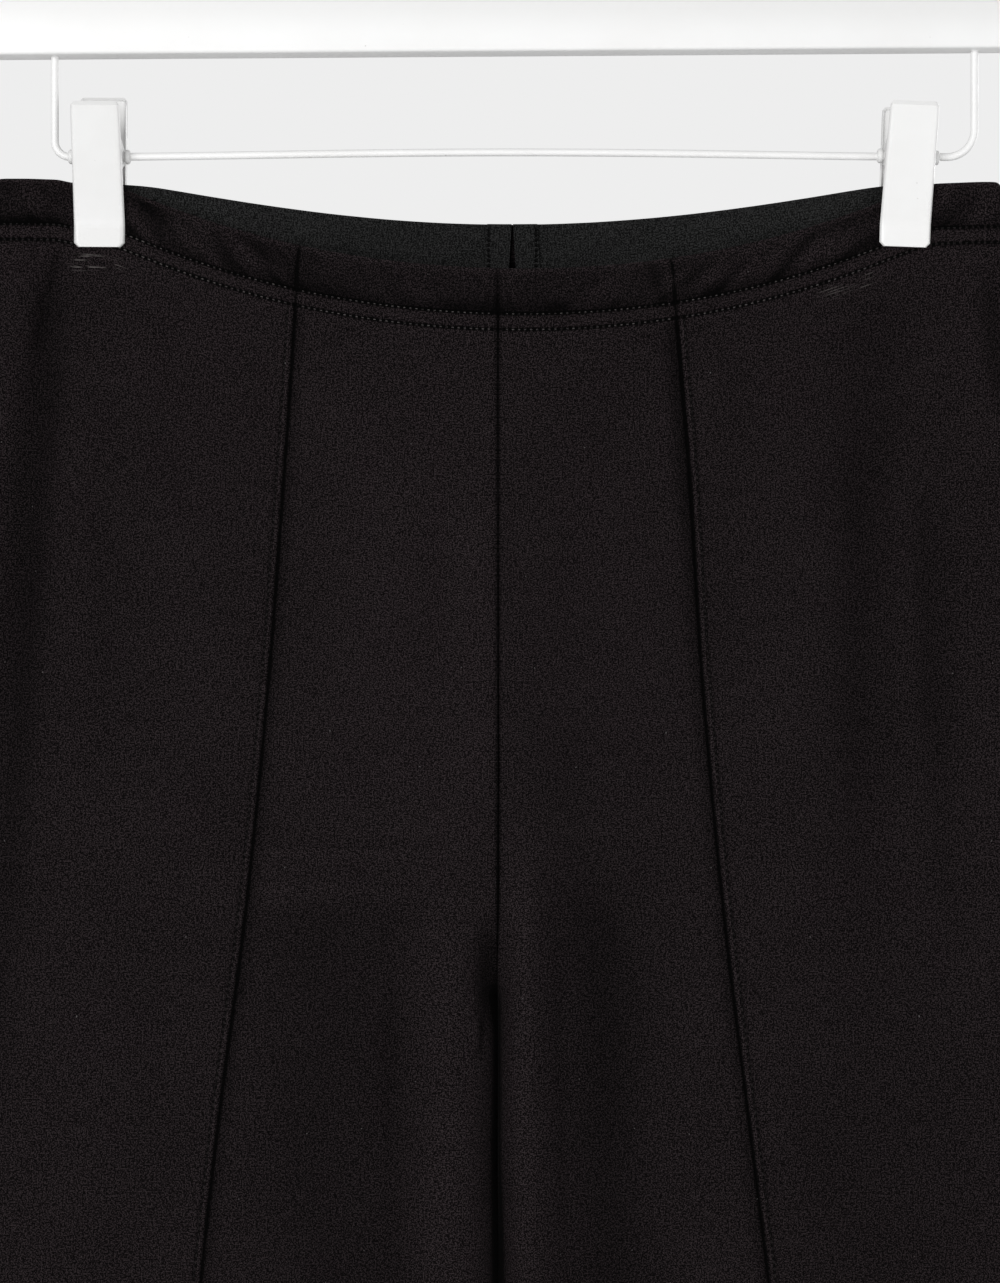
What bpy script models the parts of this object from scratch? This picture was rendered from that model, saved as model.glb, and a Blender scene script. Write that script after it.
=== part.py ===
"""Pull-on kick flare trousers held by two clips on a flat hanger.

The garment faces -Y and hangs down -Z. Left and right are the wearer's, so the left leg is at +X.
The origin is the top of the inside of the hanger's hook, where a rail carries it.
Lengths below are in millimetres. "drop" is the distance down from the hanger's wire.
"""

import math
from collections import namedtuple

import bmesh
import bpy
import numpy as np
from mathutils import Matrix, Vector

MM = 0.001

# Hanger, from the hook down to the wire.
HOOK_ROD = 4.0
HOOK_INSIDE_RADIUS = 18.0
HOOK_START_DEGREES = -60.0
HOOK_END_DEGREES = 208.0
HOOK_STEPS = 20
HOOK_STEM_TOP = -60.0
HOOK_SWEEP_REACH = 12.0
HOOK_SWEEP_STEPS = 7
BAR_TOP = -76.0
BAR_LENGTH = 436.0
BAR_HEIGHT = 36.0
BAR_THICKNESS = 13.0
BAR_EDGE = 1.2
BAR_TILT_DEGREES = 0.35
BAR_SOCKET_DEPTH = 12.0
WIRE_IN_BAR = 10.0
WIRE_ROD = 3.0
WIRE_SPAN = 354.0
WIRE_BELOW_BAR = 38.5
WIRE_CORNER = 6.0
WIRE_CORNER_STEPS = 5
WIRE_BOW = 1.8
WIRE_BOW_STEPS = 14
WIRE_Z = BAR_TOP - BAR_HEIGHT - WIRE_BELOW_BAR
FIT_GAP = 0.3

# Clips: two stamped plates that turn on the wire, with a coiled spring between their ears.
CLIP_WIDTH = 19.4
CLIP_SHEET = 1.4
CLIP_BOTTOM = 34.6
CLIP_JAW_TOP = 26.0
CLIP_CHAMFER = 2.6
THUMB_CHAMFER = 1.0
EAR_SHEET = 1.2
EAR_INSET = 0.4
EAR_RADIUS = 3.6
WEB_NECK = 3.2
WEB_HALF = 6.0
COLLAR_RADIUS = 2.7
COLLAR_LENGTH = 1.3
SPRING_RADIUS = 4.3
Clip = namedtuple("Clip", "side x lean_degrees")
CLIPS = (Clip("right", -153.4, 0.3), Clip("left", 157.9, 2.1))
Plate = namedtuple("Plate", "wall top_y top_z ear_inset")
PLATES = (Plate("front", -15.0, 17.9, 0.0), Plate("back", 11.5, 23.8, EAR_SHEET + FIT_GAP))

# Cloth.
CLOTH_X = -6.4
CLOTH_Y = 4.0
CLOTH_WALL = 1.2
ELASTIC_WALL = 1.0
SEAM_GAP = 0.3
WAIST_DROP = 9.5
CASING_ROLL = 17.3
CASING_DEPTH = 23.3
ELASTIC_DEPTH = 25.4
ELASTIC_TOP = 0.8
JOIN_X = 5.6
JOIN_GAP_TOP = 0.5
JOIN_GAP_BOTTOM = 2.0
JOIN_CLEAR = {"left": JOIN_X + 3.0, "right": 1.0}
TURN_BACK = 9.5
CROTCH_DROP = 320.7
HEM_DROP = 990.0
HEM_FOLD = 20.0
RIDGE_WIDTH = 2.5
RIDGE_HEIGHT = 0.5
RIDGE_FALL = 0.6
RIDGE_STEPS = (0, 0.2, 1)
PINCHED_HALF = 2.1
PINCHED_MARGIN = 5.5
SIDE_BULB = 4.3
SIDE_BULB_RUN = 14.0
FREE_DROP = 38.0
FREE_RUN = 100.0
SAG_END_DROP = 300.0
SAG_SOFTNESS = 2.0
FRONT_SEAM_X = 75.0
INNER_CLEARANCE = 0.8
FOLD_FADE_IN = 0.25
FOLD_FADE_OUT = 0.4
ROLL_HEIGHT = 0.8
GATHER_HEIGHT = 0.35
BAND_HEIGHT = 0.4

SIDES = {"right": -1, "left": 1}
WALLS = {"front": -1, "back": 1}

# The trousers' outline: distances from the centre line, and how far each wall stands off the middle.
Body = namedtuple("Body", "drop outer inner front back inner_round outer_round")
BODY = (
    Body(9.5, 192.8, 0.0, 12, 12, 20, 4.3),
    Body(35, 196, 0.0, 13, 14, 20, 7),
    Body(80, 210, 0.0, 15, 18, 20, 14),
    Body(130, 224, 0.0, 16, 21, 19, 19),
    Body(200, 237, 0.0, 17, 23, 18, 22),
    Body(260, 243, 0.0, 18, 23, 15, 23),
    Body(320.7, 243, 0.8, 19, 22, 12, 22),
    Body(380, 239, 0.8, 19, 20, 11, 21),
    Body(440, 234, 0.9, 18, 18, 11, 20),
    Body(500, 229, 2.6, 17, 17, 12, 18),
    Body(560, 224.5, 7.0, 16, 16, 13, 17),
    Body(655, 222, 15.5, 15, 15, 14, 16),
    Body(760, 231, 16.0, 16, 16, 15, 17),
    Body(860, 247, 10.5, 18, 18, 17, 19),
    Body(990, 272, 3.0, 21, 21, 20, 22),
)

# The seam down the middle of each leg's front, from the centre line.
FrontSeam = namedtuple("FrontSeam", "drop right left")
FRONT_SEAM = (
    FrontSeam(34, 76.2, 65.8),
    FrontSeam(60, 78.0, 68.4),
    FrontSeam(105, 80.7, 72.2),
    FrontSeam(198, 87.2, 77.8),
    FrontSeam(290, 96.3, 86.2),
    FrontSeam(382, 108.1, 97.3),
    FrontSeam(428, 113.0, 103.0),
    FrontSeam(560, 120.5, 115.5),
    FrontSeam(655, 124.0, 122.0),
    FrontSeam(760, 128.5, 128.0),
    FrontSeam(990, 137.0, 137.0),
)

# The waist edge sags between the clips: lowest drop, how fast it climbs, and where it is lowest.
WaistSag = namedtuple("WaistSag", "lowest climb centre belly crotch_curve")
WAIST_SAG = {
    "front": WaistSag(44.4, 0.00141, 8.0, 15.0, 60.0),
    "back": WaistSag(23.8, 0.0007, 6.0, 11.0, 75.0),
}

# Soft folds: a trough where depth is above 0, a ridge where it is below.
Fold = namedtuple("Fold", "side wall x_top drop_top x_bottom drop_bottom half_width depth")
FOLDS = (
    Fold("right", "front", 172, 42, 190, 260, 8, 5.0),
    Fold("right", "front", 146, 100, 152, 240, 12, 1.6),
    Fold("right", "front", 38, 285, 44, 560, 8, 2.6),
    Fold("right", "front", 18, 270, 20, 560, 9, -1.8),
    Fold("left", "front", 142, 50, 144, 330, 9, 3.0),
    Fold("left", "front", 164, 100, 172, 260, 7, 2.4),
    Fold("left", "front", 26, 250, 40, 580, 14, 6.5),
    Fold("right", "back", 150, 45, 168, 300, 10, 4.5),
    Fold("left", "back", 154, 45, 170, 280, 9, 4.0),
    Fold("right", "back", 36, 290, 52, 600, 13, 6.0),
    Fold("left", "back", 30, 280, 46, 560, 12, 5.0),
    Fold("right", "front", 84, 700, 62, 1060, 15, 4.5),
    Fold("right", "front", 196, 690, 212, 1060, 15, 5.0),
    Fold("left", "front", 90, 720, 74, 1060, 14, 4.0),
    Fold("left", "front", 190, 700, 214, 1060, 16, 5.0),
    Fold("right", "back", 100, 690, 88, 1060, 16, 5.0),
    Fold("right", "back", 180, 720, 196, 1060, 14, 4.0),
    Fold("left", "back", 78, 700, 60, 1060, 14, 4.5),
    Fold("left", "back", 168, 690, 186, 1060, 17, 5.0),
)

# Rows of a cut piece, as drops below the wire where the clips hold it: the waist casing, then the leg.
CASING_DEPTHS = (0.0, 2.5, 9.0, 15.0, CASING_ROLL, 20.3, CASING_DEPTH)
LEG_DROPS = (
    35, 44, 58, 78, 102, 132, 165, 200, 235, 262, 284, 300, 311, 318, CROTCH_DROP,
    328, 345, 375, 410, 450, 500, 550, 605, 660, 720, 780, 840, 895, 940,
    HEM_DROP - HEM_FOLD - 1.5, HEM_DROP - HEM_FOLD, HEM_DROP,
)
ROWS = np.array([WAIST_DROP + depth for depth in CASING_DEPTHS] + list(LEG_DROPS), float)
CENTRE_STEPS = (0, 0.2, 0.45, 0.72, 1)
FOLD_STEPS = (0.2, 0.4, 0.6, 0.8, 1)
ELASTIC_DEPTHS = np.array([ELASTIC_TOP, ELASTIC_DEPTH / 2, ELASTIC_DEPTH])

BLACK_KNIT = ("black_knit", (0.012, 0.0095, 0.0102), 0.85, 0.0)
GREY_ELASTIC = ("grey_elastic", (0.018, 0.018, 0.0185), 0.8, 0.0)
WHITE_PAINT = ("white_paint", (0.82, 0.82, 0.81), 0.45, 0.0)
WHITE_COATING = ("white_coating", (0.85, 0.85, 0.84), 0.35, 0.0)
SPRING_STEEL = ("spring_steel", (0.55, 0.55, 0.53), 0.3, 1.0)


def ease(t):
    """0 before 0, 1 after 1, and a soft climb between."""
    t = np.clip(t, 0.0, 1.0)
    return t * t * (3 - 2 * t)


def read_table(table, column, drop):
    """A table's column at any drop, on a smooth curve through its rows."""
    knots = np.array([row.drop for row in table], float)
    values = np.array([getattr(row, column) for row in table], float)
    slopes = np.gradient(values, knots)
    drop = np.clip(drop, knots[0], knots[-1])
    i = np.clip(np.searchsorted(knots, drop) - 1, 0, len(knots) - 2)
    span = knots[i + 1] - knots[i]
    t = (drop - knots[i]) / span
    start = values[i] * (1 + 2 * t) * (1 - t) ** 2 + slopes[i] * span * t * (1 - t) ** 2
    end = values[i + 1] * t * t * (3 - 2 * t) + slopes[i + 1] * span * t * t * (t - 1)
    return start + end


def clip_distance(side):
    """How far from the centre line the side's clip holds the waist."""
    return next(abs(clip.x) for clip in CLIPS if clip.side == side)


def waist_sag(side, wall, x):
    """How far the waist edge hangs below its height at the clips."""
    sag = WAIST_SAG[wall]
    parabola = sag.lowest - sag.climb * (SIDES[side] * x - sag.centre) ** 2 - WAIST_DROP
    return (parabola + np.sqrt(parabola**2 + SAG_SOFTNESS**2)) / 2


def sag_left(drop):
    """How much of the waist's sag is left at a drop: all of it in the casing, none at the crotch."""
    casing_end = WAIST_DROP + CASING_DEPTH
    return 1 - ease((drop - casing_end) / (SAG_END_DROP - casing_end))


def crotch_closing(wall, drop):
    """0 where the wall runs straight over the centre line, 1 from the crotch down, where it turns in."""
    height = WAIST_SAG[wall].crotch_curve
    t = np.clip((drop - CROTCH_DROP + height) / height, 0, 1)
    return 1 - np.sqrt(1 - t * t)


def half_depth(side, wall, x, drop):
    """How far the wall's middle surface stands off the garment's middle plane."""
    clip_x = clip_distance(side)
    jaw = CLIP_WIDTH / 2 + PINCHED_MARGIN
    belly = WAIST_SAG[wall].belly * np.cos(np.pi / 2 * np.clip(x / (clip_x - jaw), 0, 1)) ** 2
    bulb = (SIDE_BULB - PINCHED_HALF) * ease((x - clip_x - jaw) / SIDE_BULB_RUN)
    pinched = PINCHED_HALF + belly + bulb
    return pinched + (read_table(BODY, wall, drop) - pinched) * ease((drop - FREE_DROP) / FREE_RUN)


def fold_depth(side, wall, x, drop):
    """How far the soft folds push the wall inwards."""
    total = np.zeros(np.broadcast(x, drop).shape)
    for fold in FOLDS:
        if (fold.side, fold.wall) != (side, wall):
            continue
        t = (drop - fold.drop_top) / (fold.drop_bottom - fold.drop_top)
        middle = fold.x_top + (fold.x_bottom - fold.x_top) * np.clip(t, 0, 1)
        fade = ease(t / FOLD_FADE_IN) * ease((1 - t) / FOLD_FADE_OUT)
        total = total + fold.depth * fade * np.exp(-(((x - middle) / fold.half_width) ** 2))
    return total


def run_lengths(side, wall, drop):
    """Lengths along the wall of its rounded inner edge, its flat stretch and its rounded side fold."""
    closing = crotch_closing(wall, drop)
    inner_round = read_table(BODY, "inner_round", drop)
    outer_round = read_table(BODY, "outer_round", drop)
    depth = read_table(BODY, wall, drop)
    inner = inner_round + closing * (np.pi / 2 * np.sqrt((inner_round**2 + depth**2) / 2) - inner_round)
    outer = read_table(BODY, "outer", drop) - outer_round
    side_depth = half_depth(side, wall, outer, drop)
    fold = np.pi / 2 * np.sqrt((outer_round**2 + side_depth**2) / 2)
    return inner, outer - inner_edge(wall, drop) - inner_round, fold


def inner_edge(wall, drop):
    """Where the wall starts: on the centre line down to the crotch, then at the leg's inner edge."""
    clearance = INNER_CLEARANCE * np.sqrt(crotch_closing(wall, drop))
    return np.where(drop < CROTCH_DROP, clearance, read_table(BODY, "inner", drop))


def cloth_point(side, wall, run, drop):
    """A point of the wall's middle surface, run along the wall from its inner edge."""
    run, drop = np.broadcast_arrays(np.asarray(run, float), np.asarray(drop, float))
    inner_run, flat_run, fold_run = run_lengths(side, wall, drop)
    start, closing = inner_edge(wall, drop), crotch_closing(wall, drop)
    inner_round = read_table(BODY, "inner_round", drop)
    outer_round = read_table(BODY, "outer_round", drop)
    turn_in = np.pi / 2 * np.minimum(run / inner_run, 1)
    turn_out = np.pi / 2 * np.maximum(run - inner_run - flat_run, 0) / fold_run
    spread = (1 - closing) * turn_in * 2 / np.pi + closing * (1 - np.cos(turn_in))
    x = start + inner_round * spread
    x = x + np.clip(run - inner_run, 0, flat_run) + outer_round * np.sin(turn_out)
    stand = (1 - closing + closing * np.sin(turn_in)) * np.cos(turn_out)
    depth = half_depth(side, wall, x, drop) - fold_depth(side, wall, x, drop)
    y = CLOTH_Y + WALLS[wall] * depth * stand
    z = WIRE_Z - drop - waist_sag(side, wall, x) * sag_left(drop)
    return np.stack([CLOTH_X + SIDES[side] * x, y, z], axis=-1)


def cloth_normal(side, wall, run, drop):
    """The direction out of the garment at that point."""
    step = 0.5
    along = cloth_point(side, wall, run + step, drop) - cloth_point(side, wall, run - step, drop)
    down = cloth_point(side, wall, run, drop + step) - cloth_point(side, wall, run, drop - step)
    normal = np.cross(along, down) * SIDES[side] * WALLS[wall]
    return normal / np.linalg.norm(normal, axis=-1, keepdims=True)


def seam_run(side, drop):
    """Where the front seam crosses the front wall, as a run along it."""
    hung = drop + waist_sag(side, "front", FRONT_SEAM_X) * sag_left(drop)
    inner_run, _, _ = run_lengths(side, "front", drop)
    at_inner_round = inner_edge("front", drop) + read_table(BODY, "inner_round", drop)
    return inner_run + read_table(FRONT_SEAM, side, hung) - at_inner_round


def side_run(side, wall, drop):
    """The whole run of the wall, from its inner edge to the side seam."""
    return sum(run_lengths(side, wall, drop))


def add_material(obj, finish):
    """Gives the object its Principled material."""
    name, colour, roughness, metallic = finish
    material = bpy.data.materials.get(name) or bpy.data.materials.new(name)
    material.use_nodes = True
    shader = material.node_tree.nodes["Principled BSDF"]
    shader.inputs["Base Color"].default_value = (*colour, 1)
    shader.inputs["Roughness"].default_value = roughness
    shader.inputs["Metallic"].default_value = metallic
    obj.data.materials.append(material)


def add_mesh(name, points, faces, finish):
    """A named mesh object from points in millimetres."""
    mesh = bpy.data.meshes.new(name)
    mesh.from_pydata([tuple(point) for point in np.asarray(points) * MM], [], faces)
    shell = bmesh.new()
    shell.from_mesh(mesh)
    bmesh.ops.recalc_face_normals(shell, faces=shell.faces)
    shell.to_mesh(mesh)
    shell.free()
    obj = bpy.data.objects.new(name, mesh)
    bpy.context.scene.collection.objects.link(obj)
    add_material(obj, finish)
    mesh.shade_smooth()
    mesh.set_sharp_from_angle(angle=math.radians(40))
    return obj


def add_wall(name, outside, inside, finish):
    """A closed wall between two grids of points that face each other."""
    rows, columns = outside.shape[:2]
    index = np.arange(rows * columns).reshape(rows, columns)
    far = index + rows * columns
    faces = []
    for grid in (index, far[:, ::-1]):
        faces += np.stack([grid[:-1, :-1], grid[:-1, 1:], grid[1:, 1:], grid[1:, :-1]], -1).reshape(-1, 4).tolist()
    rim = np.concatenate([index[0], index[1:, -1], index[-1, -2::-1], index[-2:0:-1, 0]])
    following = np.roll(rim, -1)
    shift = rows * columns
    faces += [[a, a + shift, b + shift, b] for a, b in zip(rim.tolist(), following.tolist())]
    points = np.concatenate([outside.reshape(-1, 3), inside.reshape(-1, 3)])
    return add_mesh(name, points, faces, finish)


def spread(zones):
    """The runs of a piece's columns on each row, at the given steps across each zone of the wall."""
    columns = [first[:, None] + (last - first)[:, None] * np.asarray(steps) for first, last, steps in zones]
    return np.concatenate(columns, axis=1)


def front_centre_runs(side, drops):
    """Columns from the centre front seam to the seam down the leg's front."""
    inner_run, _, _ = run_lengths(side, "front", drops)
    half_gap = np.full(len(drops), SEAM_GAP / 2)
    seam = seam_run(side, drops) - half_gap
    return spread([(half_gap, inner_run, CENTRE_STEPS), (inner_run, seam, np.linspace(0, 1, 7)[1:])])


def front_side_runs(side, drops):
    """Columns from the seam down the leg's front, over its ridge, to the side seam."""
    first = seam_run(side, drops) + SEAM_GAP / 2
    inner_run, flat_run, fold_run = run_lengths(side, "front", drops)
    fold_start = inner_run + flat_run
    ridge = (first, first + RIDGE_WIDTH, RIDGE_STEPS)
    flat = (first + RIDGE_WIDTH + RIDGE_FALL, fold_start, np.linspace(0, 1, 10))
    return spread([ridge, flat, (fold_start, fold_start + fold_run - SEAM_GAP / 2, FOLD_STEPS)])


def back_runs(side, drops):
    """Columns from the centre back seam to the side seam."""
    inner_run, flat_run, fold_run = run_lengths(side, "back", drops)
    half_gap = np.full(len(drops), SEAM_GAP / 2)
    fold_start = inner_run + flat_run
    flat = (inner_run, fold_start, np.linspace(0, 1, 14)[1:])
    fold = (fold_start, fold_start + fold_run - half_gap, FOLD_STEPS)
    return spread([(half_gap, inner_run, CENTRE_STEPS), flat, fold])


def casing_relief(side, runs):
    """How far the waist casing stands proud: a gathered roll, then a flat band between two stitch rows."""
    depth = (ROWS - WAIST_DROP)[:, None]
    roll = np.sin(np.pi * np.clip(depth / CASING_ROLL, 0, 1))
    band = np.sin(np.pi * np.clip((depth - CASING_ROLL) / (CASING_DEPTH - CASING_ROLL), 0, 1))
    gathers = GATHER_HEIGHT * np.where(np.arange(runs.shape[1]) % 2, 1.0, -1.0)
    free = ease((np.abs(runs - clip_distance(side)) - CLIP_WIDTH / 2 - PINCHED_MARGIN) / 10)
    return free * ((ROLL_HEIGHT + gathers) * roll + BAND_HEIGHT * band)


def add_panel(name, side, wall, runs, ridge=0.0):
    """A cut piece from the waist edge to the hem, with the casing, seam ridge and hem raised on it."""
    drops = np.broadcast_to(ROWS[:, None], runs.shape)
    proud = casing_relief(side, runs)
    below_casing = ease((ROWS - WAIST_DROP - CASING_DEPTH) / 3)
    proud[:, : len(RIDGE_STEPS)] += below_casing[:, None] * ridge * np.array((0.5, 1.0, 1.0))
    hem = np.where(drops > HEM_DROP - HEM_FOLD - 1, CLOTH_WALL, 0.0)
    middle = cloth_point(side, wall, runs, drops)
    normal = cloth_normal(side, wall, runs, drops)
    outside = middle + normal * (CLOTH_WALL / 2 + proud)[..., None]
    inside = middle - normal * (CLOTH_WALL / 2 + hem)[..., None]
    add_wall(name, outside, inside, BLACK_KNIT)


def build_panels(side):
    """The three cut pieces of one side: centre front, side front and back."""
    add_panel(f"front_centre_{side}", side, "front", front_centre_runs(side, ROWS))
    add_panel(f"front_side_{side}", side, "front", front_side_runs(side, ROWS), RIDGE_HEIGHT)
    add_panel(f"back_{side}", side, "back", back_runs(side, ROWS))


def elastic_column(side, wall, runs, layer):
    """One column of elastic down its depth, outside and inside, so many layers in from the casing."""
    inset = CLOTH_WALL / 2 + FIT_GAP + layer * (ELASTIC_WALL + FIT_GAP)
    drops = WAIST_DROP + ELASTIC_DEPTHS
    middle = cloth_point(side, wall, runs, drops)
    normal = cloth_normal(side, wall, runs, drops)
    return middle - normal * inset, middle - normal * (inset + ELASTIC_WALL)


def add_elastic(name, columns):
    """A strip of elastic through its columns."""
    outside, inside = (np.stack(layers, axis=1) for layers in zip(*columns))
    add_wall(name, outside, inside, GREY_ELASTIC)


def join_edge(direction):
    """The elastic's end beside the join, a run that opens a narrow wedge towards the bottom."""
    wedge = JOIN_GAP_TOP + (JOIN_GAP_BOTTOM - JOIN_GAP_TOP) * ELASTIC_DEPTHS / ELASTIC_DEPTH
    return JOIN_X + direction * wedge / 2


def build_elastic():
    """The elastic strip that goes once round inside the casing and meets itself at the back."""
    drops = WAIST_DROP + ELASTIC_DEPTHS
    ring = [("left", "back", join_edge(1))]
    for side in ("left", "right"):
        back = [("back", runs) for runs in back_runs(side, drops).T if runs[0] > JOIN_CLEAR[side]]
        front = [("front", runs) for runs in front_centre_runs(side, drops).T[:-1]]
        front += [("front", runs) for runs in front_side_runs(side, drops).T[len(RIDGE_STEPS) - 1 :]]
        half = back + front[::-1][1:]
        half = half if side == "left" else half[::-1][1:]
        ring += [(side, wall, runs) for wall, runs in half]
    ring.append(("left", "back", join_edge(-1)))
    add_elastic("waist_elastic", [elastic_column(*column, 0) for column in ring])


def build_turn_back(name, direction):
    """The elastic's end turned back on itself beside the join and sewn down."""
    columns = []
    for step in (0.0, 0.33, 0.66, 1.0):
        runs = join_edge(direction) + direction * step * TURN_BACK
        side = "left" if runs[0] > 0 else "right"
        columns.append(elastic_column(side, "back", SIDES[side] * runs, 1))
    add_elastic(name, columns)


def add_rod(name, path, diameter, finish):
    """A round rod along a path in millimetres, with closed ends."""
    curve = bpy.data.curves.new(name, "CURVE")
    curve.dimensions = "3D"
    curve.bevel_depth = diameter / 2 * MM
    curve.bevel_resolution = 2
    curve.use_fill_caps = True
    spline = curve.splines.new("POLY")
    spline.points.add(len(path) - 1)
    for point, place in zip(spline.points, path):
        point.co = (*(np.asarray(place, float) * MM), 1)
    obj = bpy.data.objects.new(name, curve)
    bpy.context.scene.collection.objects.link(obj)
    add_material(obj, finish)
    return obj


def arc(centre_x, centre_z, radius, start_degrees, end_degrees, steps):
    """Points of an arc in the hanger's plane."""
    angles = np.radians(np.linspace(start_degrees, end_degrees, steps + 1))
    return [(centre_x + radius * math.cos(a), 0.0, centre_z + radius * math.sin(a)) for a in angles]


def hook_path():
    """The stem rises from the bar, sweeps to one side and goes over the rail."""
    radius = HOOK_INSIDE_RADIUS + HOOK_ROD / 2
    loop = arc(0, -HOOK_INSIDE_RADIUS, radius, HOOK_START_DEGREES, HOOK_END_DEGREES, HOOK_STEPS)
    stem_end = np.array([0.0, HOOK_STEM_TOP])
    loop_start = np.array([loop[0][0], loop[0][2]])
    turn = math.radians(HOOK_START_DEGREES)
    pull_up = stem_end + np.array([0.0, HOOK_SWEEP_REACH])
    pull_back = loop_start - HOOK_SWEEP_REACH * np.array([-math.sin(turn), math.cos(turn)])
    sweep = []
    for t in np.arange(HOOK_SWEEP_STEPS) / HOOK_SWEEP_STEPS:
        bezier = (
            (1 - t) ** 3 * stem_end
            + 3 * (1 - t) ** 2 * t * pull_up
            + 3 * (1 - t) * t**2 * pull_back
            + t**3 * loop_start
        )
        sweep.append((bezier[0], 0.0, bezier[1]))
    socket_floor = BAR_TOP - BAR_SOCKET_DEPTH + FIT_GAP
    return [(0.0, 0.0, socket_floor), (0.0, 0.0, BAR_TOP)] + sweep + loop


def wire_height(x):
    """The height of the wire's level stretch, which bows up a little in the middle."""
    return WIRE_Z + WIRE_BOW * (1 - (x / (WIRE_SPAN / 2 - WIRE_CORNER)) ** 2) ** 2


def wire_path():
    """Down out of the bar, round a corner, across with a slight bow, and up again."""
    half, top = WIRE_SPAN / 2, BAR_TOP - BAR_HEIGHT + WIRE_IN_BAR
    start = half - WIRE_CORNER
    first_corner = arc(-start, WIRE_Z + WIRE_CORNER, WIRE_CORNER, 180, 270, WIRE_CORNER_STEPS)
    last_corner = arc(start, WIRE_Z + WIRE_CORNER, WIRE_CORNER, 270, 360, WIRE_CORNER_STEPS)
    across = [(x, 0.0, wire_height(x)) for x in np.linspace(-start, start, WIRE_BOW_STEPS + 1)[1:-1]]
    return [(-half, 0.0, top)] + first_corner + across + last_corner + [(half, 0.0, top)]


def cut_away(obj, cutters, operation="DIFFERENCE"):
    """Applies exact Booleans with helper objects, which are then removed."""
    for cutter in cutters:
        boolean = obj.modifiers.new(operation.lower(), "BOOLEAN")
        boolean.operation = operation
        boolean.solver = "EXACT"
        boolean.object = cutter
        graph = bpy.context.evaluated_depsgraph_get()
        result = bpy.data.meshes.new_from_object(obj.evaluated_get(graph))
        obj.modifiers.clear()
        obj.data = result
        bpy.data.objects.remove(cutter)


def add_cylinder(name, radius, start, end, axis, sides, finish):
    """A cylinder from start to end along X or Z, both points in millimetres."""
    angles = np.linspace(0, 2 * math.pi, sides, endpoint=False) + math.pi / sides
    points = []
    for place in (start, end):
        for angle in angles:
            across, up = radius * math.cos(angle), radius * math.sin(angle)
            offset = (0.0, across, up) if axis == "X" else (across, up, 0.0)
            points.append(np.asarray(place, float) + offset)
    faces = [list(range(sides))[::-1], list(range(sides, 2 * sides))]
    faces += [[i, (i + 1) % sides, sides + (i + 1) % sides, sides + i] for i in range(sides)]
    return add_mesh(name, points, faces, finish)


def build_bar():
    """The hanger's flat white bar, with sockets for the hook and the wire's two ends."""
    half, y, bottom = BAR_LENGTH / 2, BAR_THICKNESS / 2, BAR_TOP - BAR_HEIGHT
    corners = [(x, side_y, z) for x in (-half, half) for side_y in (-y, y) for z in (bottom, BAR_TOP)]
    faces = [[0, 1, 3, 2], [4, 6, 7, 5], [0, 4, 5, 1], [2, 3, 7, 6], [0, 2, 6, 4], [1, 5, 7, 3]]
    bar = add_mesh("hanger_bar", corners, faces, WHITE_PAINT)
    shell = bmesh.new()
    shell.from_mesh(bar.data)
    bmesh.ops.bevel(shell, geom=shell.edges[:], offset=BAR_EDGE * MM, segments=2, affect="EDGES", profile=0.5)
    shell.to_mesh(bar.data)
    shell.free()
    sockets = [
        ("hook_socket", 0.0, HOOK_ROD, BAR_TOP + 1, BAR_TOP - BAR_SOCKET_DEPTH),
        ("right_socket", -WIRE_SPAN / 2, WIRE_ROD, bottom - 1, bottom + BAR_SOCKET_DEPTH),
        ("left_socket", WIRE_SPAN / 2, WIRE_ROD, bottom - 1, bottom + BAR_SOCKET_DEPTH),
    ]
    for name, x, rod, start, end in sockets:
        socket = add_cylinder(name, rod / 2 + FIT_GAP, (x, 0, start), (x, 0, end), "Z", 12, WHITE_PAINT)
        cut_away(bar, [socket])
    middle = Vector((0, 0, (BAR_TOP - BAR_HEIGHT / 2) * MM))
    tilt = Matrix.Rotation(-math.radians(BAR_TILT_DEGREES), 4, "Y")
    bar.matrix_world = Matrix.Translation(middle) @ tilt @ Matrix.Translation(-middle)


def plate_profile(plate):
    """Inner face of a clip plate from its jaw to its thumb end, as (y, z, half width) from the wire."""
    jaw_y = CLOTH_Y + WALLS[plate.wall] * (PINCHED_HALF + CLOTH_WALL / 2 + FIT_GAP)
    half = CLIP_WIDTH / 2
    rise = plate.top_z + CLIP_JAW_TOP
    profile = [
        (jaw_y, -CLIP_BOTTOM, half - CLIP_CHAMFER),
        (jaw_y, -CLIP_BOTTOM + CLIP_CHAMFER, half),
        (jaw_y, -CLIP_JAW_TOP, half),
    ]
    for t in (0.2, 0.4, 0.6, 0.8, 1 - THUMB_CHAMFER / rise):
        profile.append((jaw_y + (plate.top_y - jaw_y) * t, -CLIP_JAW_TOP + rise * t, half))
    profile.append((plate.top_y, plate.top_z, half - THUMB_CHAMFER))
    return np.array(profile)


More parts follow.
